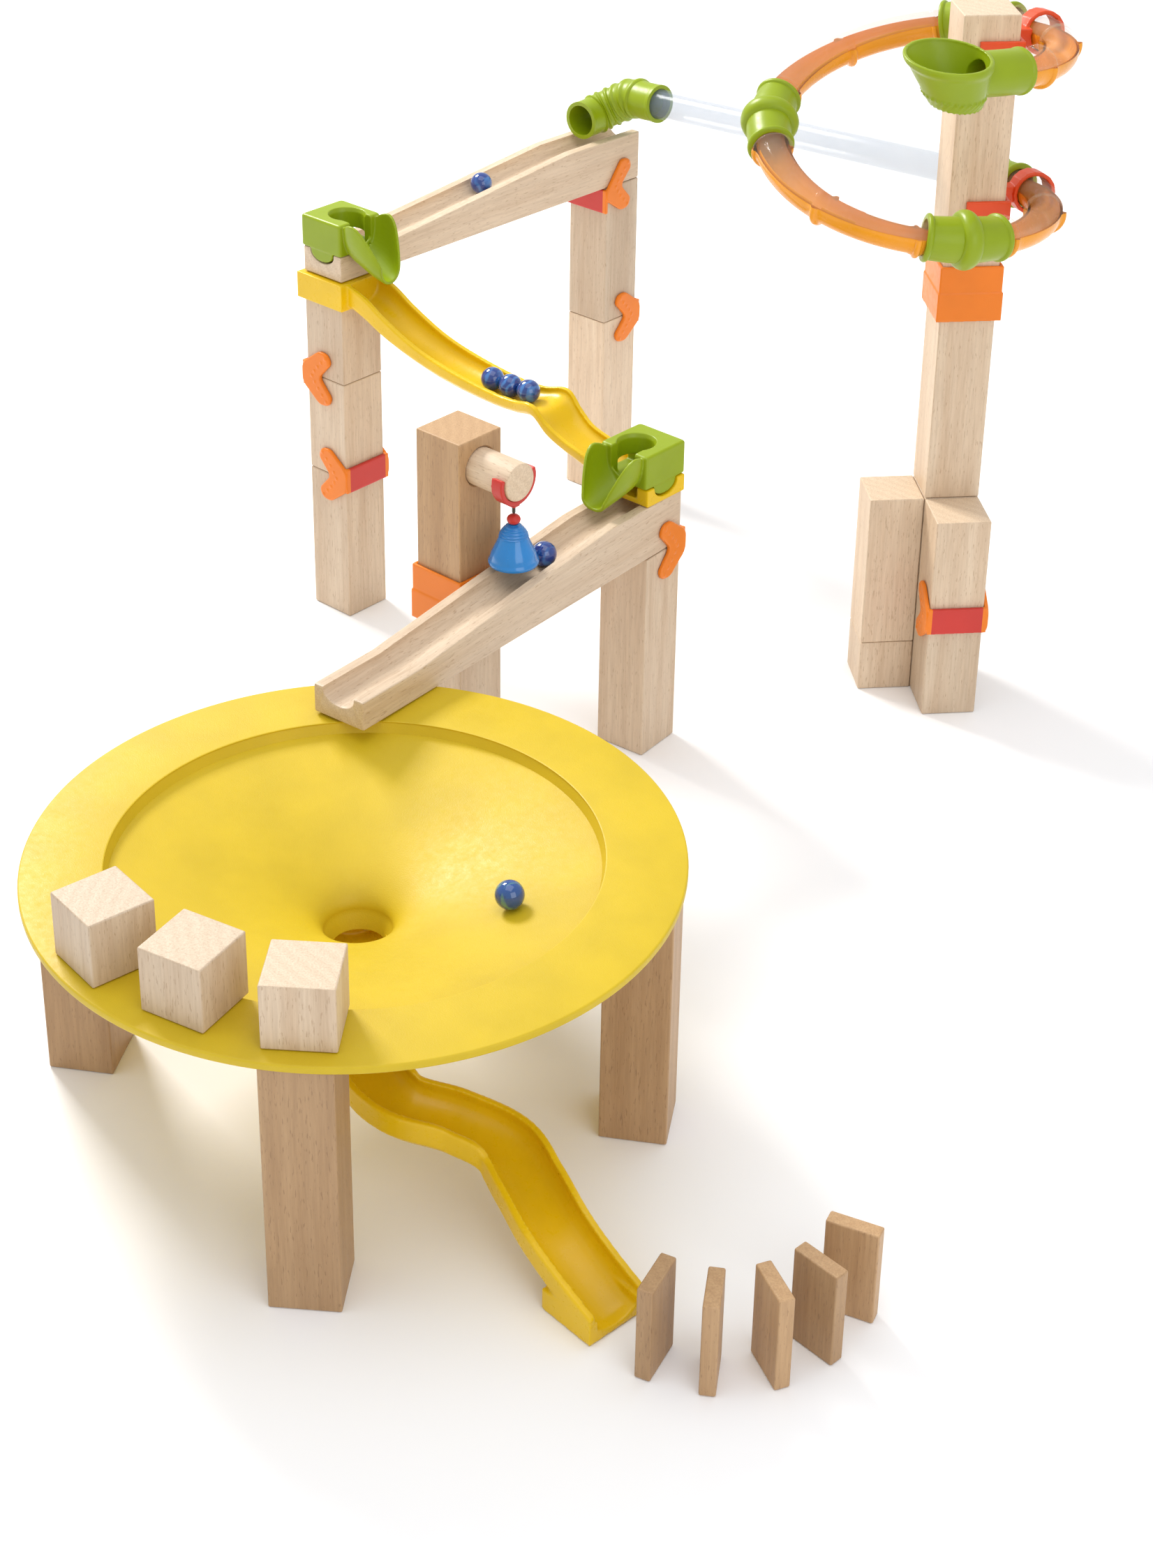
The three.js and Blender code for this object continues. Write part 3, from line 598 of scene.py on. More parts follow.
# Bearing and distance of each leg from the dish's centre
LEGS = ((-148, 168), (-53.4, 166), (31.8, 165.8), (122, 165.8))
for number, (bearing, distance) in enumerate(LEGS, 1):
    turn = math.radians(bearing)
    spot = (DISH_CENTRE[0] + distance * math.cos(turn), DISH_CENTRE[1] + distance * math.sin(turn))
    # The legs take the darker beech, whose colour partly paints in the shade that the dish casts on
    # them
    block(f"dish_leg_{number}", spot, 0, 160, bearing, wood=BEECH_WARM_AND_SHADED)

DISH_TOP = 165.3
# Place and yaw of each loose cube, then of each domino
CUBES = (((409.4, -566.1), -8.7), ((472.9, -559.1), 12.3), ((530.3, -534.5), 37.6))
for number, (spot, yaw) in enumerate(CUBES, 1):
    name = f"rim_cube_{number}"
    block(name, spot, DISH_TOP + GAP, BLOCK, yaw, body=name)

DOMINO = (9, 30, 60)
DOMINOES = (
    ((706.7, -459), 15.5),
    ((734.7, -447), 33.1),
    ((754.9, -422.4), 62.8),
    ((762.8, -394.2), 85.3),
    ((760, -361), 107),
)
for number, (spot, yaw) in enumerate(DOMINOES, 1):
    name = f"domino_{number}"
    # The dominoes take the darker beech, whose colour partly paints in the shade on their faces
    block(name, spot, 0, DOMINO[2] + GAP, yaw, None, name, DOMINO[:2], BEECH_WARM_AND_SHADED)

# Drilled block and dowel of the bell tower
DOWEL_RADIUS, DOWEL_Z, DOWEL_END, DOWEL_EDGE = 13.2, 261, 56, 1.3
BELL_X = 50


def drilled_block():
    """Block with a blind hole in its +X face, cut by a boolean."""
    tall = 120 - GAP
    mesh = block_mesh(BLOCK, BLOCK, tall)
    z0 = 160 + PLATE
    middle = (*BELL_TOWER, z0 + tall / 2)
    obj = bpy.data.objects.new("temp_block", mesh)
    scene.collection.objects.link(obj)
    radius, mouth = DOWEL_RADIUS + GAP, DOWEL_RADIUS + GAP + 1.2
    hole = [(0, 0), (radius, 0), (radius, 18.9), (mouth, 20.2), (mouth, 30), (0, 30)]
    cutter = temp_object(*lathe(hole, 64))
    cutter.rotation_euler.y = math.pi / 2
    cutter.location = Vector((0, 0, DOWEL_Z - middle[2])) * MM
    cut = obj.modifiers.new("hole", "BOOLEAN")
    cut.object, cut.operation, cut.solver = cutter, "DIFFERENCE", "EXACT"
    bpy.context.view_layer.update()
    done = bpy.data.meshes.new_from_object(obj.evaluated_get(bpy.context.evaluated_depsgraph_get()))
    bpy.data.objects.remove(obj)
    bpy.data.objects.remove(cutter)
    done.set_sharp_from_angle(angle=math.radians(40))
    name = "bell_tower_upper"
    # The upper block takes the darker beech, whose colour is partly painted shade
    weigh_normals(add_piece(name, done, BEECH_WARM_AND_SHADED, name, at=middle))


def bell_dowel():
    """Dowel lying along +X, with a rounded free end."""
    outline = [(0, GAP), (DOWEL_RADIUS, GAP)]
    for k in range(7):
        turn = math.pi / 2 * k / 6
        radius = DOWEL_RADIUS - DOWEL_EDGE * (1 - math.cos(turn))
        outline.append((radius, DOWEL_END - DOWEL_EDGE * (1 - math.sin(turn))))
    outline.append((0, DOWEL_END))
    points, faces = lathe(outline, 64)
    mesh = mesh_from([(z, y, -x) for x, y, z in points], faces, 40)
    add_piece("bell_dowel", mesh, BEECH_X, "bell_dowel", at=(*BELL_TOWER, DOWEL_Z))


drilled_block()
bell_dowel()

# Ramps with a round groove
RAMP_LENGTH = 340
RAMP_FALL = (85, 285)  # where the top starts and stops falling, from the high end
RAMP_THICK = (40, 20)
RAMP_EDGE = 1.2
GROOVE_HALF, GROOVE_DEPTH = 12.25, 9.5


def groove_arc(half, depth, steps):
    """Round groove as pairs of across and down, from one lip to the other."""
    turns = [math.pi * k / steps for k in range(steps + 1)]
    return [(half * math.cos(turn), depth * math.sin(turn) ** 0.8) for turn in turns]


def ramp_thickness(from_high):
    """Straight fall between the ramp's two level ends."""
    share = (from_high - RAMP_FALL[0]) / (RAMP_FALL[1] - RAMP_FALL[0])
    share = min(max(share, 0.0), 1.0)
    return RAMP_THICK[0] + (RAMP_THICK[1] - RAMP_THICK[0]) * share


def ramp(name, slope, underside, at, yaw):
    """Grooved ramp lofted along -Y from its high end, its edges rounded at both ends too."""
    half = BLOCK / 2
    rings = []
    distances = [0, 0.35, RAMP_EDGE] + [3 + (RAMP_LENGTH - 6) * k / 84 for k in range(85)]
    distances += [RAMP_LENGTH - RAMP_EDGE, RAMP_LENGTH - 0.35, RAMP_LENGTH]
    for s in distances:
        end = max(RAMP_EDGE - s, s - (RAMP_LENGTH - RAMP_EDGE), 0)
        inset = RAMP_EDGE - math.sqrt(max(RAMP_EDGE**2 - end * end, 0))
        z0 = underside + slope * s
        z1 = z0 + ramp_thickness(s) - inset
        z0 += inset
        wide = half - inset
        groove = []
        for x, drop in groove_arc(GROOVE_HALF, GROOVE_DEPTH, 24):
            lip = 1 + 0.035 * (x / GROOVE_HALF) ** 8
            groove.append((x * lip, z1 - drop))
        outline = rounded([(-wide, z1), (-wide, z0), (wide, z0), (wide, z1)], 1.1)
        ring = outline[CORNER_POINTS:]
        ring += [(GROOVE_HALF + 1.0, z1), *groove, (-GROOVE_HALF - 1.0, z1)]
        ring += outline[:CORNER_POINTS]
        rings.append([(x, half - s, z - underside) for x, z in ring])
    mesh = mesh_from(*loft(rings), smooth=38)
    add_piece(name, mesh, BEECH_Y, name, at=(*at, underside), yaw=yaw)


ramp("ramp_upper", 0.0105, 280.2, TOWER_B, 0)
ramp("ramp_lower", 0.0206, 160.1, TOWER_C, RAMP_LOWER_YAW)

# -------- yellow slides and dish


SLIDE_WALL = 3


def channel(half, wall, rim, low, steps=7):
    """Open U section with rounded lips: pairs of across and up."""
    floor = low + wall
    depth = rim - floor
    inner = half - wall
    drop = min(7.0, depth * 0.6)
    outline = [(-half, rim), (-half, low + drop), (-half + drop, low), (half - drop, low)]
    outline += [(half, low + drop), (half, rim), (inner, rim)]
    bowl = []
    for k in range(1, 2 * steps):
        turn = math.pi * k / (2 * steps)
        bowl.append((inner * math.cos(turn), rim - depth * math.sin(turn) ** 0.7))
    edge = rounded([*outline, (-inner, rim)], 1.3)
    return edge[:-CORNER_POINTS] + bowl + edge[-CORNER_POINTS:]


# Upper slide: distance from tower A, rim height, underside height and half width
SLIDE_STATIONS = (
    (20, 283, 262, 18),
    (40, 277, 255, 18),
    (61, 266, 246, 18),
    (93, 253, 237, 18),
    (128, 245.5, 231, 18),
    (168, 241, 229.6, 18),
    (192, 241.5, 231, 18.5),
    (212, 245, 234, 21),
    (226, 234, 222, 20),
    (240, 226, 215, 18),
    (262, 220, 208, 18),
    (278.5, 214.2, 202, 18),
)


def upper_slide():
    """Collar on tower A, chute with a dip, and a seat on tower C notched for the ramp's groove."""
    rings = []
    for x, rim, low, half in smooth_steps(SLIDE_STATIONS, 8):
        rings.append([(x, y, z) for y, z in channel(half, SLIDE_WALL, rim, low)])
    shells = [loft(rings)]
    hole, out = 20.4, 24
    top, under = 283, 262
    shells.append(box_shell(-out, out, -out, out, top - PLATE, top))
    shells.append(box_shell(-out, -hole, -out, out, under, top - 1))
    shells.append(box_shell(hole, out, -out, out, under, top - 1))
    shells.append(box_shell(-out, out, -out, -hole, under, top - 1))
    shells.append(box_shell(-out, out, hole, out, under, top - 1))
    seat_low, seat_top, floor = 201.4, 214.2, 205.5
    shells.append(box_shell(276, 322, -20, 20, seat_low, floor))
    shells.append(box_shell(311.5, 322, -20, 20, seat_low, seat_top))
    shells.append(box_shell(276, 322, 10.5, 20, seat_low, seat_top))
    shells.append(box_shell(276, 290, -20, -10.5, seat_low, seat_top))
    arc = groove_arc(GROOVE_HALF, GROOVE_DEPTH, 24)
    ends = [[(x, y, seat_top - drop) for y, drop in arc] for x in (305, 324)]
    notch = loft([[(end[0][0], 0, 220), *end] for end in ends])
    origin = (150, 0, 240)
    place = Matrix.Translation(-Vector(origin))
    mesh = carve([moved(shell, place) for shell in shells], [moved(notch, place)], [], 0.75, 3)
    add_piece("slide_upper", mesh, YELLOW, "slide_upper", at=origin)


upper_slide()

# Lower slide: the middle of its rim, from under the dish to its foot
LOWER_SLIDE = (
    (414, -391, 108),
    (436, -408, 104),
    (466, -436, 92),
    (497, -457, 80),
    (522, -458, 72),
    (546, -441, 63),
    (572, -430, 54),
    (598, -437, 46),
    (625, -447, 39),
    (650, -452, 29.5),
    (678, -455, 18),
)


def lower_slide():
    """Winding trough with a closed upper end and a foot that stands on the floor."""
    half = 20
    path = [Vector(p) for p in smooth_steps(LOWER_SLIDE, 9)]
    rings, closing = [], []
    for i, centre in enumerate(path):
        ahead = path[min(i + 1, len(path) - 1)] - path[max(i - 1, 0)]
        side = Vector((ahead.y, -ahead.x, 0)).normalized()
        rim, low = centre.z, max(centre.z - 21, 0.4)
        section = channel(half, SLIDE_WALL, rim, low)
        rings.append([(*(centre + side * u).xy, z) for u, z in section])
        if i < 2:
            plate = [(-half, rim), (-half, low + 6), (-14, low), (14, low), (half, low + 6)]
            plate.append((half, rim))
            closing.append([(*(centre + side * u).xy, z) for u, z in plate])
    shells = [loft(rings), loft(closing)]
    last = (path[-1] - path[-3]).xy
    foot = Matrix.Translation((path[-1].x, path[-1].y, 0))
    foot @= Matrix.Rotation(math.atan2(last.y, last.x), 4, "Z")
    for y0, y1, top in ((-half, -14, 14), (14, half, 14), (-19, 19, SLIDE_WALL)):
        shells.append(moved(box_shell(-38, 0, y0, y1, 0, top), foot))
    origin = (550, -440, 50)
    mesh = melt(shells, 0.85, 3, origin)
    add_piece("slide_lower", mesh, YELLOW, "slide_lower", at=origin)


lower_slide()

DISH_RADIUS, DISH_STEP, DISH_HOLE = 189, 142, 20
DISH_UNDER, BOWL_TOP, BOWL_LOW = 160.3, 158, 112
# Throat round the hole: from the hole's radius, and down from the bowl's low edge
THROAT = ((-1, 2.6), (-3.2, 7), (-4.3, 11), (-3.6, 11.8), (-2.9, 11), (-1.4, 7), (0.4, 4.6))


def dish():
    """Flat rim round a step, then a bowl that steepens down to a throat."""
    reach = DISH_STEP - 2 - DISH_HOLE
    upper, lower = [], []
    steps = 56
    for k in range(steps + 1):
        out = reach * (k / steps) ** 2.4
        z = BOWL_LOW + (BOWL_TOP - BOWL_LOW) * (out / reach) ** 0.525
        upper.append((DISH_HOLE + out, z))
        lower.append((DISH_HOLE + out + 2.2, z - 3.2))
    edge = [(DISH_STEP - 0.5, DISH_TOP), (DISH_RADIUS, DISH_TOP)]
    edge += [(DISH_RADIUS, DISH_UNDER), (DISH_STEP + 2.8, DISH_UNDER)]
    throat = [(DISH_HOLE + out, BOWL_LOW - down) for out, down in THROAT]
    profile = upper + rounded(edge, 1.4) + lower[::-1] + throat[::-1]
    mesh = mesh_from(*lathe(profile, 192), smooth=32)
    add_piece("dish", mesh, YELLOW_DISH, "dish", at=(*DISH_CENTRE, 0))


dish()

# -------- tube run

# Tubes run round the column in a tilted, falling spiral, then straight to the elbow. Places
# along them are degrees of the spiral, which go on past its end.
SPIRAL_RADIUS, SPIRAL_CENTRE, SPIRAL_TOP, SPIRAL_FALL = 97, (-47.4, -3.3), 493, 18.3
SPIRAL_TILT = (6.7, 12.4)
SPIRAL_START = -67
COUPLERS = (49, 165, 281, 397)
COUPLER_HALF = 16.5
TUBE_OUTER, TUBE_INNER = 12, 10.2
STRAIGHT_END = Vector((55.5, 302.5, 355.4))
MM_PER_DEGREE = SPIRAL_RADIUS * math.pi / 180


def spiral_point(degrees):
    """Place on the spiral's centre line."""
    turn = math.radians(degrees)
    u = SPIRAL_CENTRE[0] + SPIRAL_RADIUS * math.cos(turn)
    w = SPIRAL_CENTRE[1] + SPIRAL_RADIUS * math.sin(turn)
    tilt = SPIRAL_TILT[0] * math.cos(turn) + SPIRAL_TILT[1] * math.sin(turn)
    return Vector((*from_column(u, w), SPIRAL_TOP - SPIRAL_FALL * turn + tilt))


RUN_END = COUPLERS[-1]
RUN_BEND = spiral_point(RUN_END)
STRAIGHT_WAY = (STRAIGHT_END - RUN_BEND).normalized()
STRAIGHT_DEGREES = (STRAIGHT_END - RUN_BEND).length / MM_PER_DEGREE


def run_point(degrees):
    """Place on the centre line of the spiral or, past its end, of the straight tube."""
    if degrees <= RUN_END:
        return spiral_point(degrees)
    return RUN_BEND + STRAIGHT_WAY * ((degrees - RUN_END) * MM_PER_DEGREE)


def run_station(degrees, outer=0, inner=0):
    """Centre, tangent and the two radii of a tube at a place along the run."""
    tangent = run_point(degrees + 0.5) - run_point(degrees - 0.5)
    return run_point(degrees), tangent.normalized(), outer, inner


def ring_round(centre, along, radius, sides):
    """Circle of points round a direction."""
    side = Vector((0, 0, 1)).cross(along).normalized()
    up = along.cross(side).normalized()
    turns = [2 * math.pi * i / sides for i in range(sides)]
    return [centre + (side * math.cos(turn) + up * math.sin(turn)) * radius for turn in turns]


def tube_mesh(stations, sides, origin):
    """Hollow tube through (centre, tangent, outer, inner) stations; returns its mesh."""
    points = []
    for which in (2, 3):
        for station in stations:
            ring = ring_round(station[0], station[1], station[which], sides)
            points += [p - Vector(origin) for p in ring]
    faces = []
    inner = len(stations) * sides
    for r in range(len(stations) - 1):
        skin(faces, r * sides, (r + 1) * sides, sides)
        skin(faces, inner + r * sides, inner + (r + 1) * sides, sides)
    skin(faces, 0, inner, sides)
    skin(faces, inner - sides, 2 * inner - sides, sides)
    return mesh_from(points, faces, smooth=40)


def bulge(away, half, height):
    """Height of a half round bead at a distance from its middle."""
    return height * math.sqrt(max(1 - (away / half) ** 2, 0))


def ring_swell(degrees, rings):
    """Extra radius of the raised rings at a place along the run."""
    return max(bulge((degrees - ring) * MM_PER_DEGREE, 2.3, 2.9) for ring in rings)


def run_tube(name, start, stop, rings, two_tone=True):
    """Clear tube with raised rings; the lower half of a two-tone one is orange."""
    places = {start + GAP, stop - GAP}
    count = int((stop - start) / 2)
    places |= {start + GAP + (stop - start - 2 * GAP) * k / count for k in range(count + 1)}
    for ring in rings:
        places |= {ring + k * 0.16 for k in range(-8, 9)}
    stations = [
        run_station(d, TUBE_OUTER + ring_swell(d, rings), TUBE_INNER) for d in sorted(places)
    ]
    middle = run_point((start + stop) / 2)
    mesh = tube_mesh(stations, 40, middle)
    materials = [TUBE_CLEAR, TUBE_ORANGE] if two_tone else TUBE_GLASSY
    add_piece(name, mesh, materials, name, at=tuple(middle))
    way = [(station[0] - middle) * MM for station in stations]
    for face in mesh.polygons if two_tone else []:
        near = min(way, key=lambda p: (p - face.center).length_squared)
        face.material_index = 1 if face.center.z < near.z + 2 * MM else 0


RING_INSET = 19  # from a tube's end to its raised ring, just past the coupler's lip
for number, (start, stop) in enumerate(zip((SPIRAL_START, *COUPLERS), COUPLERS), 1):
    bands = [start + RING_INSET, (start + stop) / 2]
    if stop < RUN_END:
        bands.append(stop - RING_INSET)
    run_tube(f"curve_tube_{number}", start, stop, bands)
straight_stop = RUN_END + STRAIGHT_DEGREES + 4
run_tube("straight_tube", RUN_END, straight_stop, [RUN_END + RING_INSET], two_tone=False)


def coupler(name, middle):
    """Green sleeve with a fat bead round its middle and a lip at each end."""
    stations = []
    for k in range(-80, 81):
        off = COUPLER_HALF * k / 80
        away = abs(off) * MM_PER_DEGREE
        outer = 15.4 + 0.5 * math.cos(away * 0.11)
        if away < 6.2:
            outer = max(outer, 15.4 + bulge(away, 6.2, 5.0))
        if away > 24.4:
            outer = max(outer, 15.0 + bulge(away - 26.2, 1.8, 1.5))
        stations.append(run_station(middle + off, outer, 12.5))
    origin = run_point(middle)
    mesh = tube_mesh(stations, 48, origin)
    add_piece(name, mesh, GREEN, name, at=tuple(origin))


for number, middle in enumerate(COUPLERS, 1):
    coupler(f"tube_coupler_{number}", middle)


def elbow():
    """Ribbed bend from the end of the straight tube to a mouth over the upper ramp."""
    knots = [(0, 269, 336.6), (0, 280, 336.9), (2.6, 291, 339.6), (11.5, 300.5, 345.6)]
    knots += [tuple(STRAIGHT_END + STRAIGHT_WAY * past) for past in (30, 14, 0)]
    path = [Vector(p) for p in smooth_steps(knots, 16)]
    stations = []
    total = len(path) - 1
    for i, centre in enumerate(path):
        tangent = (path[min(i + 1, total)] - path[max(i - 1, 0)]).normalized()
        share = i / total
        outer = 15.2
        if 0.2 < share < 0.76:
            outer += 1.5 * max(0.0, math.cos(share * 2 * math.pi * 11)) ** 0.7
        if share < 0.05 or share > 0.95:
            outer = 15.5
        stations.append((centre, tangent, outer, 12.4))
    origin = (15, 300, 345)
    mesh = tube_mesh(stations, 40, origin)
    add_piece("tube_elbow", mesh, GREEN, "tube_elbow", at=origin)


elbow()

# -------- small mouldings

CUP_HALF, CUP_HEIGHT = 21, 25
# Stations of the chute: distance out, rim height, underside height, half width. A height under
# the cup's foot is for a chute that drops CHUTE_DROP below it.
CHUTE_DROP = 18
CHUTE = (
    (19, 21.5, 0.5, 16),
    (20.4, 22.5, 0.2, 17),
    (21, 23, -5, 17.5),
    (26, 26, -8, 19.5),
    (33, 27, -11, 20),
    (40, 22, -14, 18.5),
    (46.5, 11, -16.5, 15),
    (52.5, -3, -18, 10.5),
)


def petal_section(half, rim, low):
    """U section of the chute with thin rounded lips, bulging out a little below them."""
    wall = 2.3
    inner, depth = half - wall, rim - low - wall
    outer, inside = [], []
    for k in range(25):
        turn = math.pi * k / 24
        across, down = math.cos(turn), math.sin(turn) ** 0.75
        outer.append((-half * across, rim - (rim - low) * down))
        inside.append((inner * across, rim - depth * down))
    return outer + inside


def cup_body():
    """Square block with rounded upright edges and a rounded top."""
    h = CUP_HALF
    side = rounded([(-h, -h), (h, -h), (h, h), (-h, h)], 2.4)
    layers = ((0, 0.8), (0.8, 0), (CUP_HEIGHT - 1.6, 0), (CUP_HEIGHT - 0.5, 0.6), (CUP_HEIGHT, 1.6))
    return loft([[(x * (1 - i / h), y * (1 - i / h), z) for x, y in side] for z, i in layers])


def cup_hollows():
    """Bowl from above, a low entry at +Y and the way out at +X."""
    bowl = []
    for z, grow in ((1.8, -2.5), (4, 0), (CUP_HEIGHT - 3, 0), (CUP_HEIGHT, 1.4), (40, 1.6)):
        reach = 13.2 + grow
        turns = [2 * math.pi * k / 48 for k in range(48)]
        bowl.append([(5 + reach * math.cos(t), 2 + (reach - 0.8) * math.sin(t), z) for t in turns])
    return [loft(bowl), box_shell(-8, 13, 2, 30, 1.8, 9.6), box_shell(5, 30, -9.8, 11, 2, 40)]


def cup_chute(drop):
    """Chute like two petals, its part below the cup's foot scaled to a drop."""
    petals = []
    for x, rim, low, half in smooth_steps(CHUTE, 7):
        low = low * drop / CHUTE_DROP if low < 0 else low
        petals.append([(x, y, z) for y, z in petal_section(half, rim, low)])
    return loft(petals)


def cup_key():
    """Half round plate that sits in a ramp's groove."""
    half = GROOVE_HALF - 0.7
    arc = [(x, -down) for x, down in groove_arc(half, GROOVE_DEPTH - 0.9, 16)]
    outline = [(half, 1), *arc, (-half, 1)]
    return loft([[(x, y, z) for x, z in outline] for y in (-20.4, -12.8)])


def corner_cup(name, at, drop, mirrored):
    """Cup that takes a marble round a corner and pours it down a chute like two petals."""
    turn = Matrix.Identity(4)
    if mirrored:
        turn = Matrix.Rotation(math.pi / 2, 4, "Z") @ Matrix.Scale(-1, 4, (1, 0, 0))
    lift = 10
    place = Matrix.Translation(Vector((0, 0, -lift))) @ turn
    body, hollows = moved(cup_body(), place), [moved(hollow, place) for hollow in cup_hollows()]
    added = [moved(cup_chute(drop), place), moved(cup_key(), place)]
    mesh = carve([body], hollows, added, 0.6, 4)
    add_piece(name, mesh, GREEN, name, at=(*at[:2], at[2] + lift))


corner_cup("corner_cup_upper", (*TOWER_A, 304.1), CHUTE_DROP, False)
corner_cup("corner_cup_lower", (*TOWER_C, 214.5), 11, True)


def rod(stations, radius):
    """Closed round rod through (centre, direction) stations."""
    return loft([ring_round(spot, along, radius, 48) for spot, along in stations])


FUNNEL_LOW, FUNNEL_TOP = 489, 523.2
FUNNEL_RIBS = 30
FUNNEL_LEAN = 0.265  # slope of the cup's axis, back from its outlet
FUNNEL_DIP = 0.49  # slope of its mouth to the side, as a share of that


def funnel_shear(centre, tangent):
    """Matrix that leans an upright cup round its foot and puts it at a centre."""
    way = Vector((tangent.x, tangent.y, 0)).normalized() * FUNNEL_LEAN
    dip = Vector((way.y, -way.x)) * FUNNEL_DIP
    return Matrix(
        (
            (1, 0, -way.x, way.x * FUNNEL_LOW + centre.x),
            (0, 1, -way.y, way.y * FUNNEL_LOW + centre.y),
            (-dip.x, -dip.y, 1, 0),
            (0, 0, 0, 1),
        )
    )


def funnel_ribs():
    """Slanting ribs round the cup's foot, before it leans."""
    ribs = []
    for k in range(FUNNEL_RIBS):
        turn = 2 * math.pi * k / FUNNEL_RIBS
        twist = turn + 0.42
        foot = Vector((17 * math.cos(turn), 17 * math.sin(turn), FUNNEL_LOW + 1.6))
        head = Vector((21.3 * math.cos(twist), 21.3 * math.sin(twist), FUNNEL_LOW + 9.6))
        along = (head - foot).normalized()
        ribs.append(rod([(foot, along), (head, along)], 1.0))
    return ribs


def funnel_cup():
    """Leaning cup with ribs round its base and an outlet round the first tube."""
    start, tangent = run_station(SPIRAL_START)[:2]
    centre = start - tangent * 38
    low, top = FUNNEL_LOW, FUNNEL_TOP
    wall = [(0, low), (13, low), (16.5, low + 1.2), (18.6, low + 4), (22, low + 13)]
    wall += [(27, low + 27), (29, top - 4.6), (29.5, top - 3.4), (29.5, top - 1), (28.8, top)]
    wall += [(27, top), (0, top)]
    hollow = [(0, low + 5), (12, low + 5.6), (16, low + 8), (19.4, low + 14), (24.4, low + 27)]
    hollow += [(26.6, top - 1.5), (27.2, top + 5), (0, top + 5)]
    origin = Vector((centre.x, centre.y, 505))
    back = Matrix.Translation(-origin)
    lean = back @ funnel_shear(centre, tangent)

    def before(distance):
        return start - tangent * distance, tangent

    def after(degrees):
        return run_station(SPIRAL_START + degrees)[:2]

    solids = [moved(lathe(wall, 96), lean)]
    solids.append(moved(rod([before(24), before(0), after(8)], 15.2), back))
    solids.append(moved(rod([after(6.4), after(7.6)], 16.0), back))
    solids += [moved(rib, lean) for rib in funnel_ribs()]
    cutters = [moved(lathe(hollow, 96), lean)]
    cutters.append(moved(rod([before(34), before(1), after(1)], 9.6), back))
    cutters.append(moved(rod([before(0.4), after(4), after(10)], 12.5), back))
    mesh = carve(solids, cutters, [], 0.6, 2)
    add_piece("funnel_cup", mesh, GREEN, "funnel_cup", at=tuple(origin))


funnel_cup()

for name in ("bell_tower_collar", "column_collar"):
    add_moulding(name, soft_copy(name, 0.7, 2), ORANGE, name)
for name in ("tube_clip_upper", "tube_clip_lower"):
    add_moulding(name, soft_copy(name, 0.6, 4), TUBE_CLIP, name)


def tower_clip(name, spot, yaw, joint_z, band_low=-10, band_high=10):
    """Clip over a joint: a red band on one face, and an orange cheek like a boomerang each side."""
    near = BLOCK / 2 + GAP
    out = near + 3
    band = box_shell(near, out, -out + 1.2, out - 1.2, band_low, band_high)
    low, high = max(band_low, -11), min(band_high, 11)
    outline = [(out, low + 2), (out, high - 2), (4, 22.5), (-5, 21), (-8, 14), (5, 0)]
    outline += [(-8, -14), (-5, -21), (4, -22.5)]
    edge = rounded(outline, 5, 6)
    inset = [(x * 0.94 + 0.9, z * 0.965) for x, z in edge]
    shells = [band]
    for sign in (-1, 1):
        layers = ((near, edge), (out - 0.9, edge), (out, inset))
        shells.append(loft([[(x, sign * y, z) for x, z in ring] for y, ring in layers]))
    for sign in (-1, 1):
        for k in range(9):
            share = k / 8 * 2 - 1
            x, y, z = 12 - 15 * abs(share) ** 1.2, sign * out, 18 * share
            shells.append(box_shell(x - 0.8, x + 0.8, y - 0.5, y + 0.5, z - 0.8, z + 0.8))
    turn = Matrix.Rotation(math.radians(yaw), 4, "Z")
    mesh = melt([moved(shell, turn) for shell in shells], 0.5, 3)
    add_piece(name, mesh, [ORANGE, RED], name, at=(*spot, joint_z))
    towards = turn @ Vector((1, 0, 0))
    across = turn @ Vector((0, 1, 0))
    for face in mesh.polygons:
        on_band = face.center.dot(towards) > (near - 0.4) * MM
        clear_of_cheeks = abs(face.center.dot(across)) < (near - 1.5) * MM
        face.material_index = 1 if on_band and clear_of_cheeks else 0


tower_clip("clip_tower_a_upper", TOWER_A, 180, 200)
tower_clip("clip_tower_a_lower", TOWER_A, 0, 120)
tower_clip("clip_tower_b_ramp", TOWER_B, -90, 280, -21, -1)
tower_clip("clip_tower_b_lower", TOWER_B, 90, 160)
tower_clip("clip_tower_c_ramp", TOWER_C, 90 + RAMP_LOWER_YAW, 160)
tower_clip("clip_buttress_front", FRONT, COLUMN_YAW - 90, 80)


def hanger():
    """Red cap on the dowel's end, with a black wire hook below its lug."""
    mesh = soft_copy("bell_hanger", 0.5, 2)
    obj = add_moulding("bell_hanger", mesh, [RED, WIRE], "bell_hanger")
    lug = DOWEL_Z - DOWEL_RADIUS - 6
    for face in mesh.polygons:
        if (obj.matrix_world @ face.center).z / MM < lug:
            face.material_index = 1


hanger()


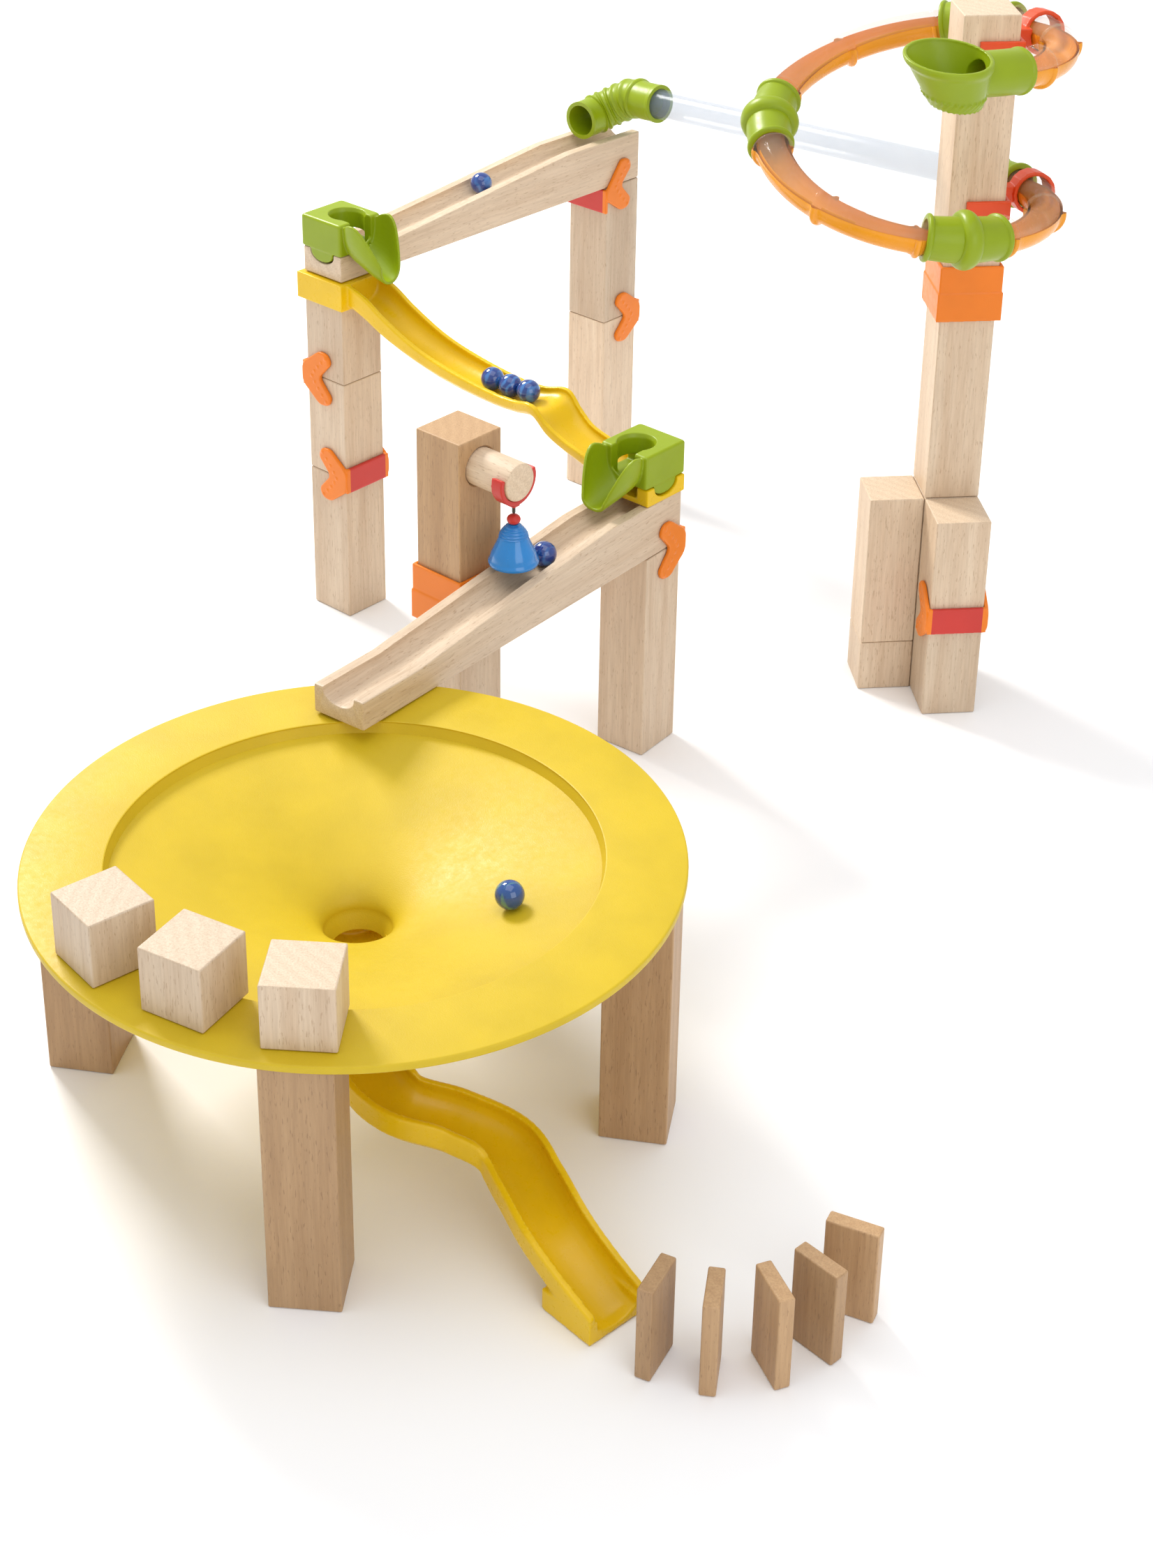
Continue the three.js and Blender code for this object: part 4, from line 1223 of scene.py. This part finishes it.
def bell():
    """Flared bell with ribs round its shoulder, and the red bead it hangs by."""
    low, height = 200.5, 28
    flare = [(16.6, 1.6), (15.9, 4.2), (14.8, 8), (12.9, 12), (11.1, 16), (9.7, 19.6)]
    rim = [(15.8, 0), (16.7, 0.3), (17, 1.3), (16.9, 2.4)]
    ribs = []
    for k in range(37):
        share = k / 36
        radius = 9.6 - 4.6 * share**1.6
        ribs.append((radius + 0.4 * math.cos(share * 2 * math.pi * 4), 20 + 7.4 * share))
    inside = [(0, 24.6), (5, 23.6), (7.6, 19.5), (9.4, 15.5), (11.4, 11.5), (13.4, 7.4), (14.9, 3)]
    crown = [(3.2, 28.0), (3.2, 28.6), (0, 28.6)]
    profile = rim + smooth_steps(flare, 4)[3:] + ribs + crown
    mesh = mesh_from(*lathe(profile + inside, 72), smooth=40)
    at = (BELL_TOWER[0] + BELL_X, BELL_TOWER[1], low)
    add_piece("bell", mesh, BELL_BLUE, "bell", "bell", at)
    bead = [(0, height + 0.4)]
    for k in range(13):
        turn = math.pi * k / 12
        bead.append((4.6 * math.sin(turn) + 0.01, height + 4 - 3.7 * math.cos(turn)))
    bead.append((0, height + 7.9))
    mesh = mesh_from(*lathe(bead, 40), smooth=60)
    add_piece("bell_bead", mesh, RED, "bell", "bell", at)


bell()

# -------- marbles

MARBLE_RADIUS = 8.6
random.seed(7)


def marble(name, at, body, glass):
    """Glass ball, very slightly out of round."""
    bm = bmesh.new()
    bmesh.ops.create_icosphere(bm, subdivisions=5, radius=MARBLE_RADIUS * MM)
    tilt = [random.uniform(0.3, 0.9) for _ in range(3)]
    for vert in bm.verts:
        p = vert.co / MM
        flaw = math.sin(p.x * tilt[0] + 1) * math.sin(p.y * tilt[1]) * math.cos(p.z * tilt[2])
        vert.co *= 0.998 + 0.0015 * flaw
    mesh = bpy.data.meshes.new(name)
    bm.to_mesh(mesh)
    bm.free()
    mesh.shade_smooth()
    add_piece(name, mesh, glass, name, body, at)


marble("marble_ramp", (0, 152, 313), "ramp_marble", GLASS_BLUE)
marble("marble_bell", (309.8, -112, 197.4), "bell_marble", GLASS_BLUE)
for number, (x, z) in enumerate(((156.2, 241.8), (173.9, 241.8), (191.6, 242.9)), 1):
    marble(f"marble_dip_{number}", (x, 0, z), f"dip_marble_{number}", GLASS_BLUE)
marble("marble_dish", (519, -369, 156.3), "dish_marble", GLASS_MIXED)

# -------- floor and light


def stage():
    """Plain pale floor, a hair below the object so that nothing lies in its plane."""
    n = Nodes("floor")
    cloud = n.noise(n.coords(seeded=False), 3, 2, 0.5)
    n.set(Base_Color=n.mix(cloud, (0.93, 0.93, 0.94), (0.96, 0.96, 0.96)), Roughness=0.7)
    size = 8
    mesh = bpy.data.meshes.new("floor")
    corners = [(-size, -size, 0), (size, -size, 0), (size, size, 0), (-size, size, 0)]
    mesh.from_pydata(corners, [], [(0, 1, 2, 3)])
    mesh.materials.append(n.material)
    floor = bpy.data.objects.new("floor", mesh)
    floor.location.z = -0.0002
    scene.collection.objects.link(floor)


def area_light(name, at, target, size, power, colour=(1, 1, 1)):
    """Square light in metres and watts, turned to its target."""
    light = bpy.data.lights.new(name, "AREA")
    light.size = size
    light.energy = power
    light.color = colour
    obj = bpy.data.objects.new(name, light)
    obj.location = at
    direction = Vector(target) - Vector(at)
    obj.rotation_euler = direction.to_track_quat("-Z", "Y").to_euler()
    scene.collection.objects.link(obj)


stage()
sky = bpy.data.worlds.new("sky")
sky.use_nodes = True
sky.node_tree.nodes["Background"].inputs["Color"].default_value = (0.97, 0.98, 1.0, 1)
sky.node_tree.nodes["Background"].inputs["Strength"].default_value = 0.78
scene.world = sky
area_light("key", (-2.0, 0.35, 1.9), (0.05, -0.05, 0.1), 0.7, 62, (1, 0.98, 0.95))
area_light("top", (0.1, -0.3, 2.8), (0, 0, 0), 2.4, 22)
area_light("fill", (2.1, -0.7, 1.2), (0, 0, 0.15), 1.6, 12, (0.97, 0.98, 1))
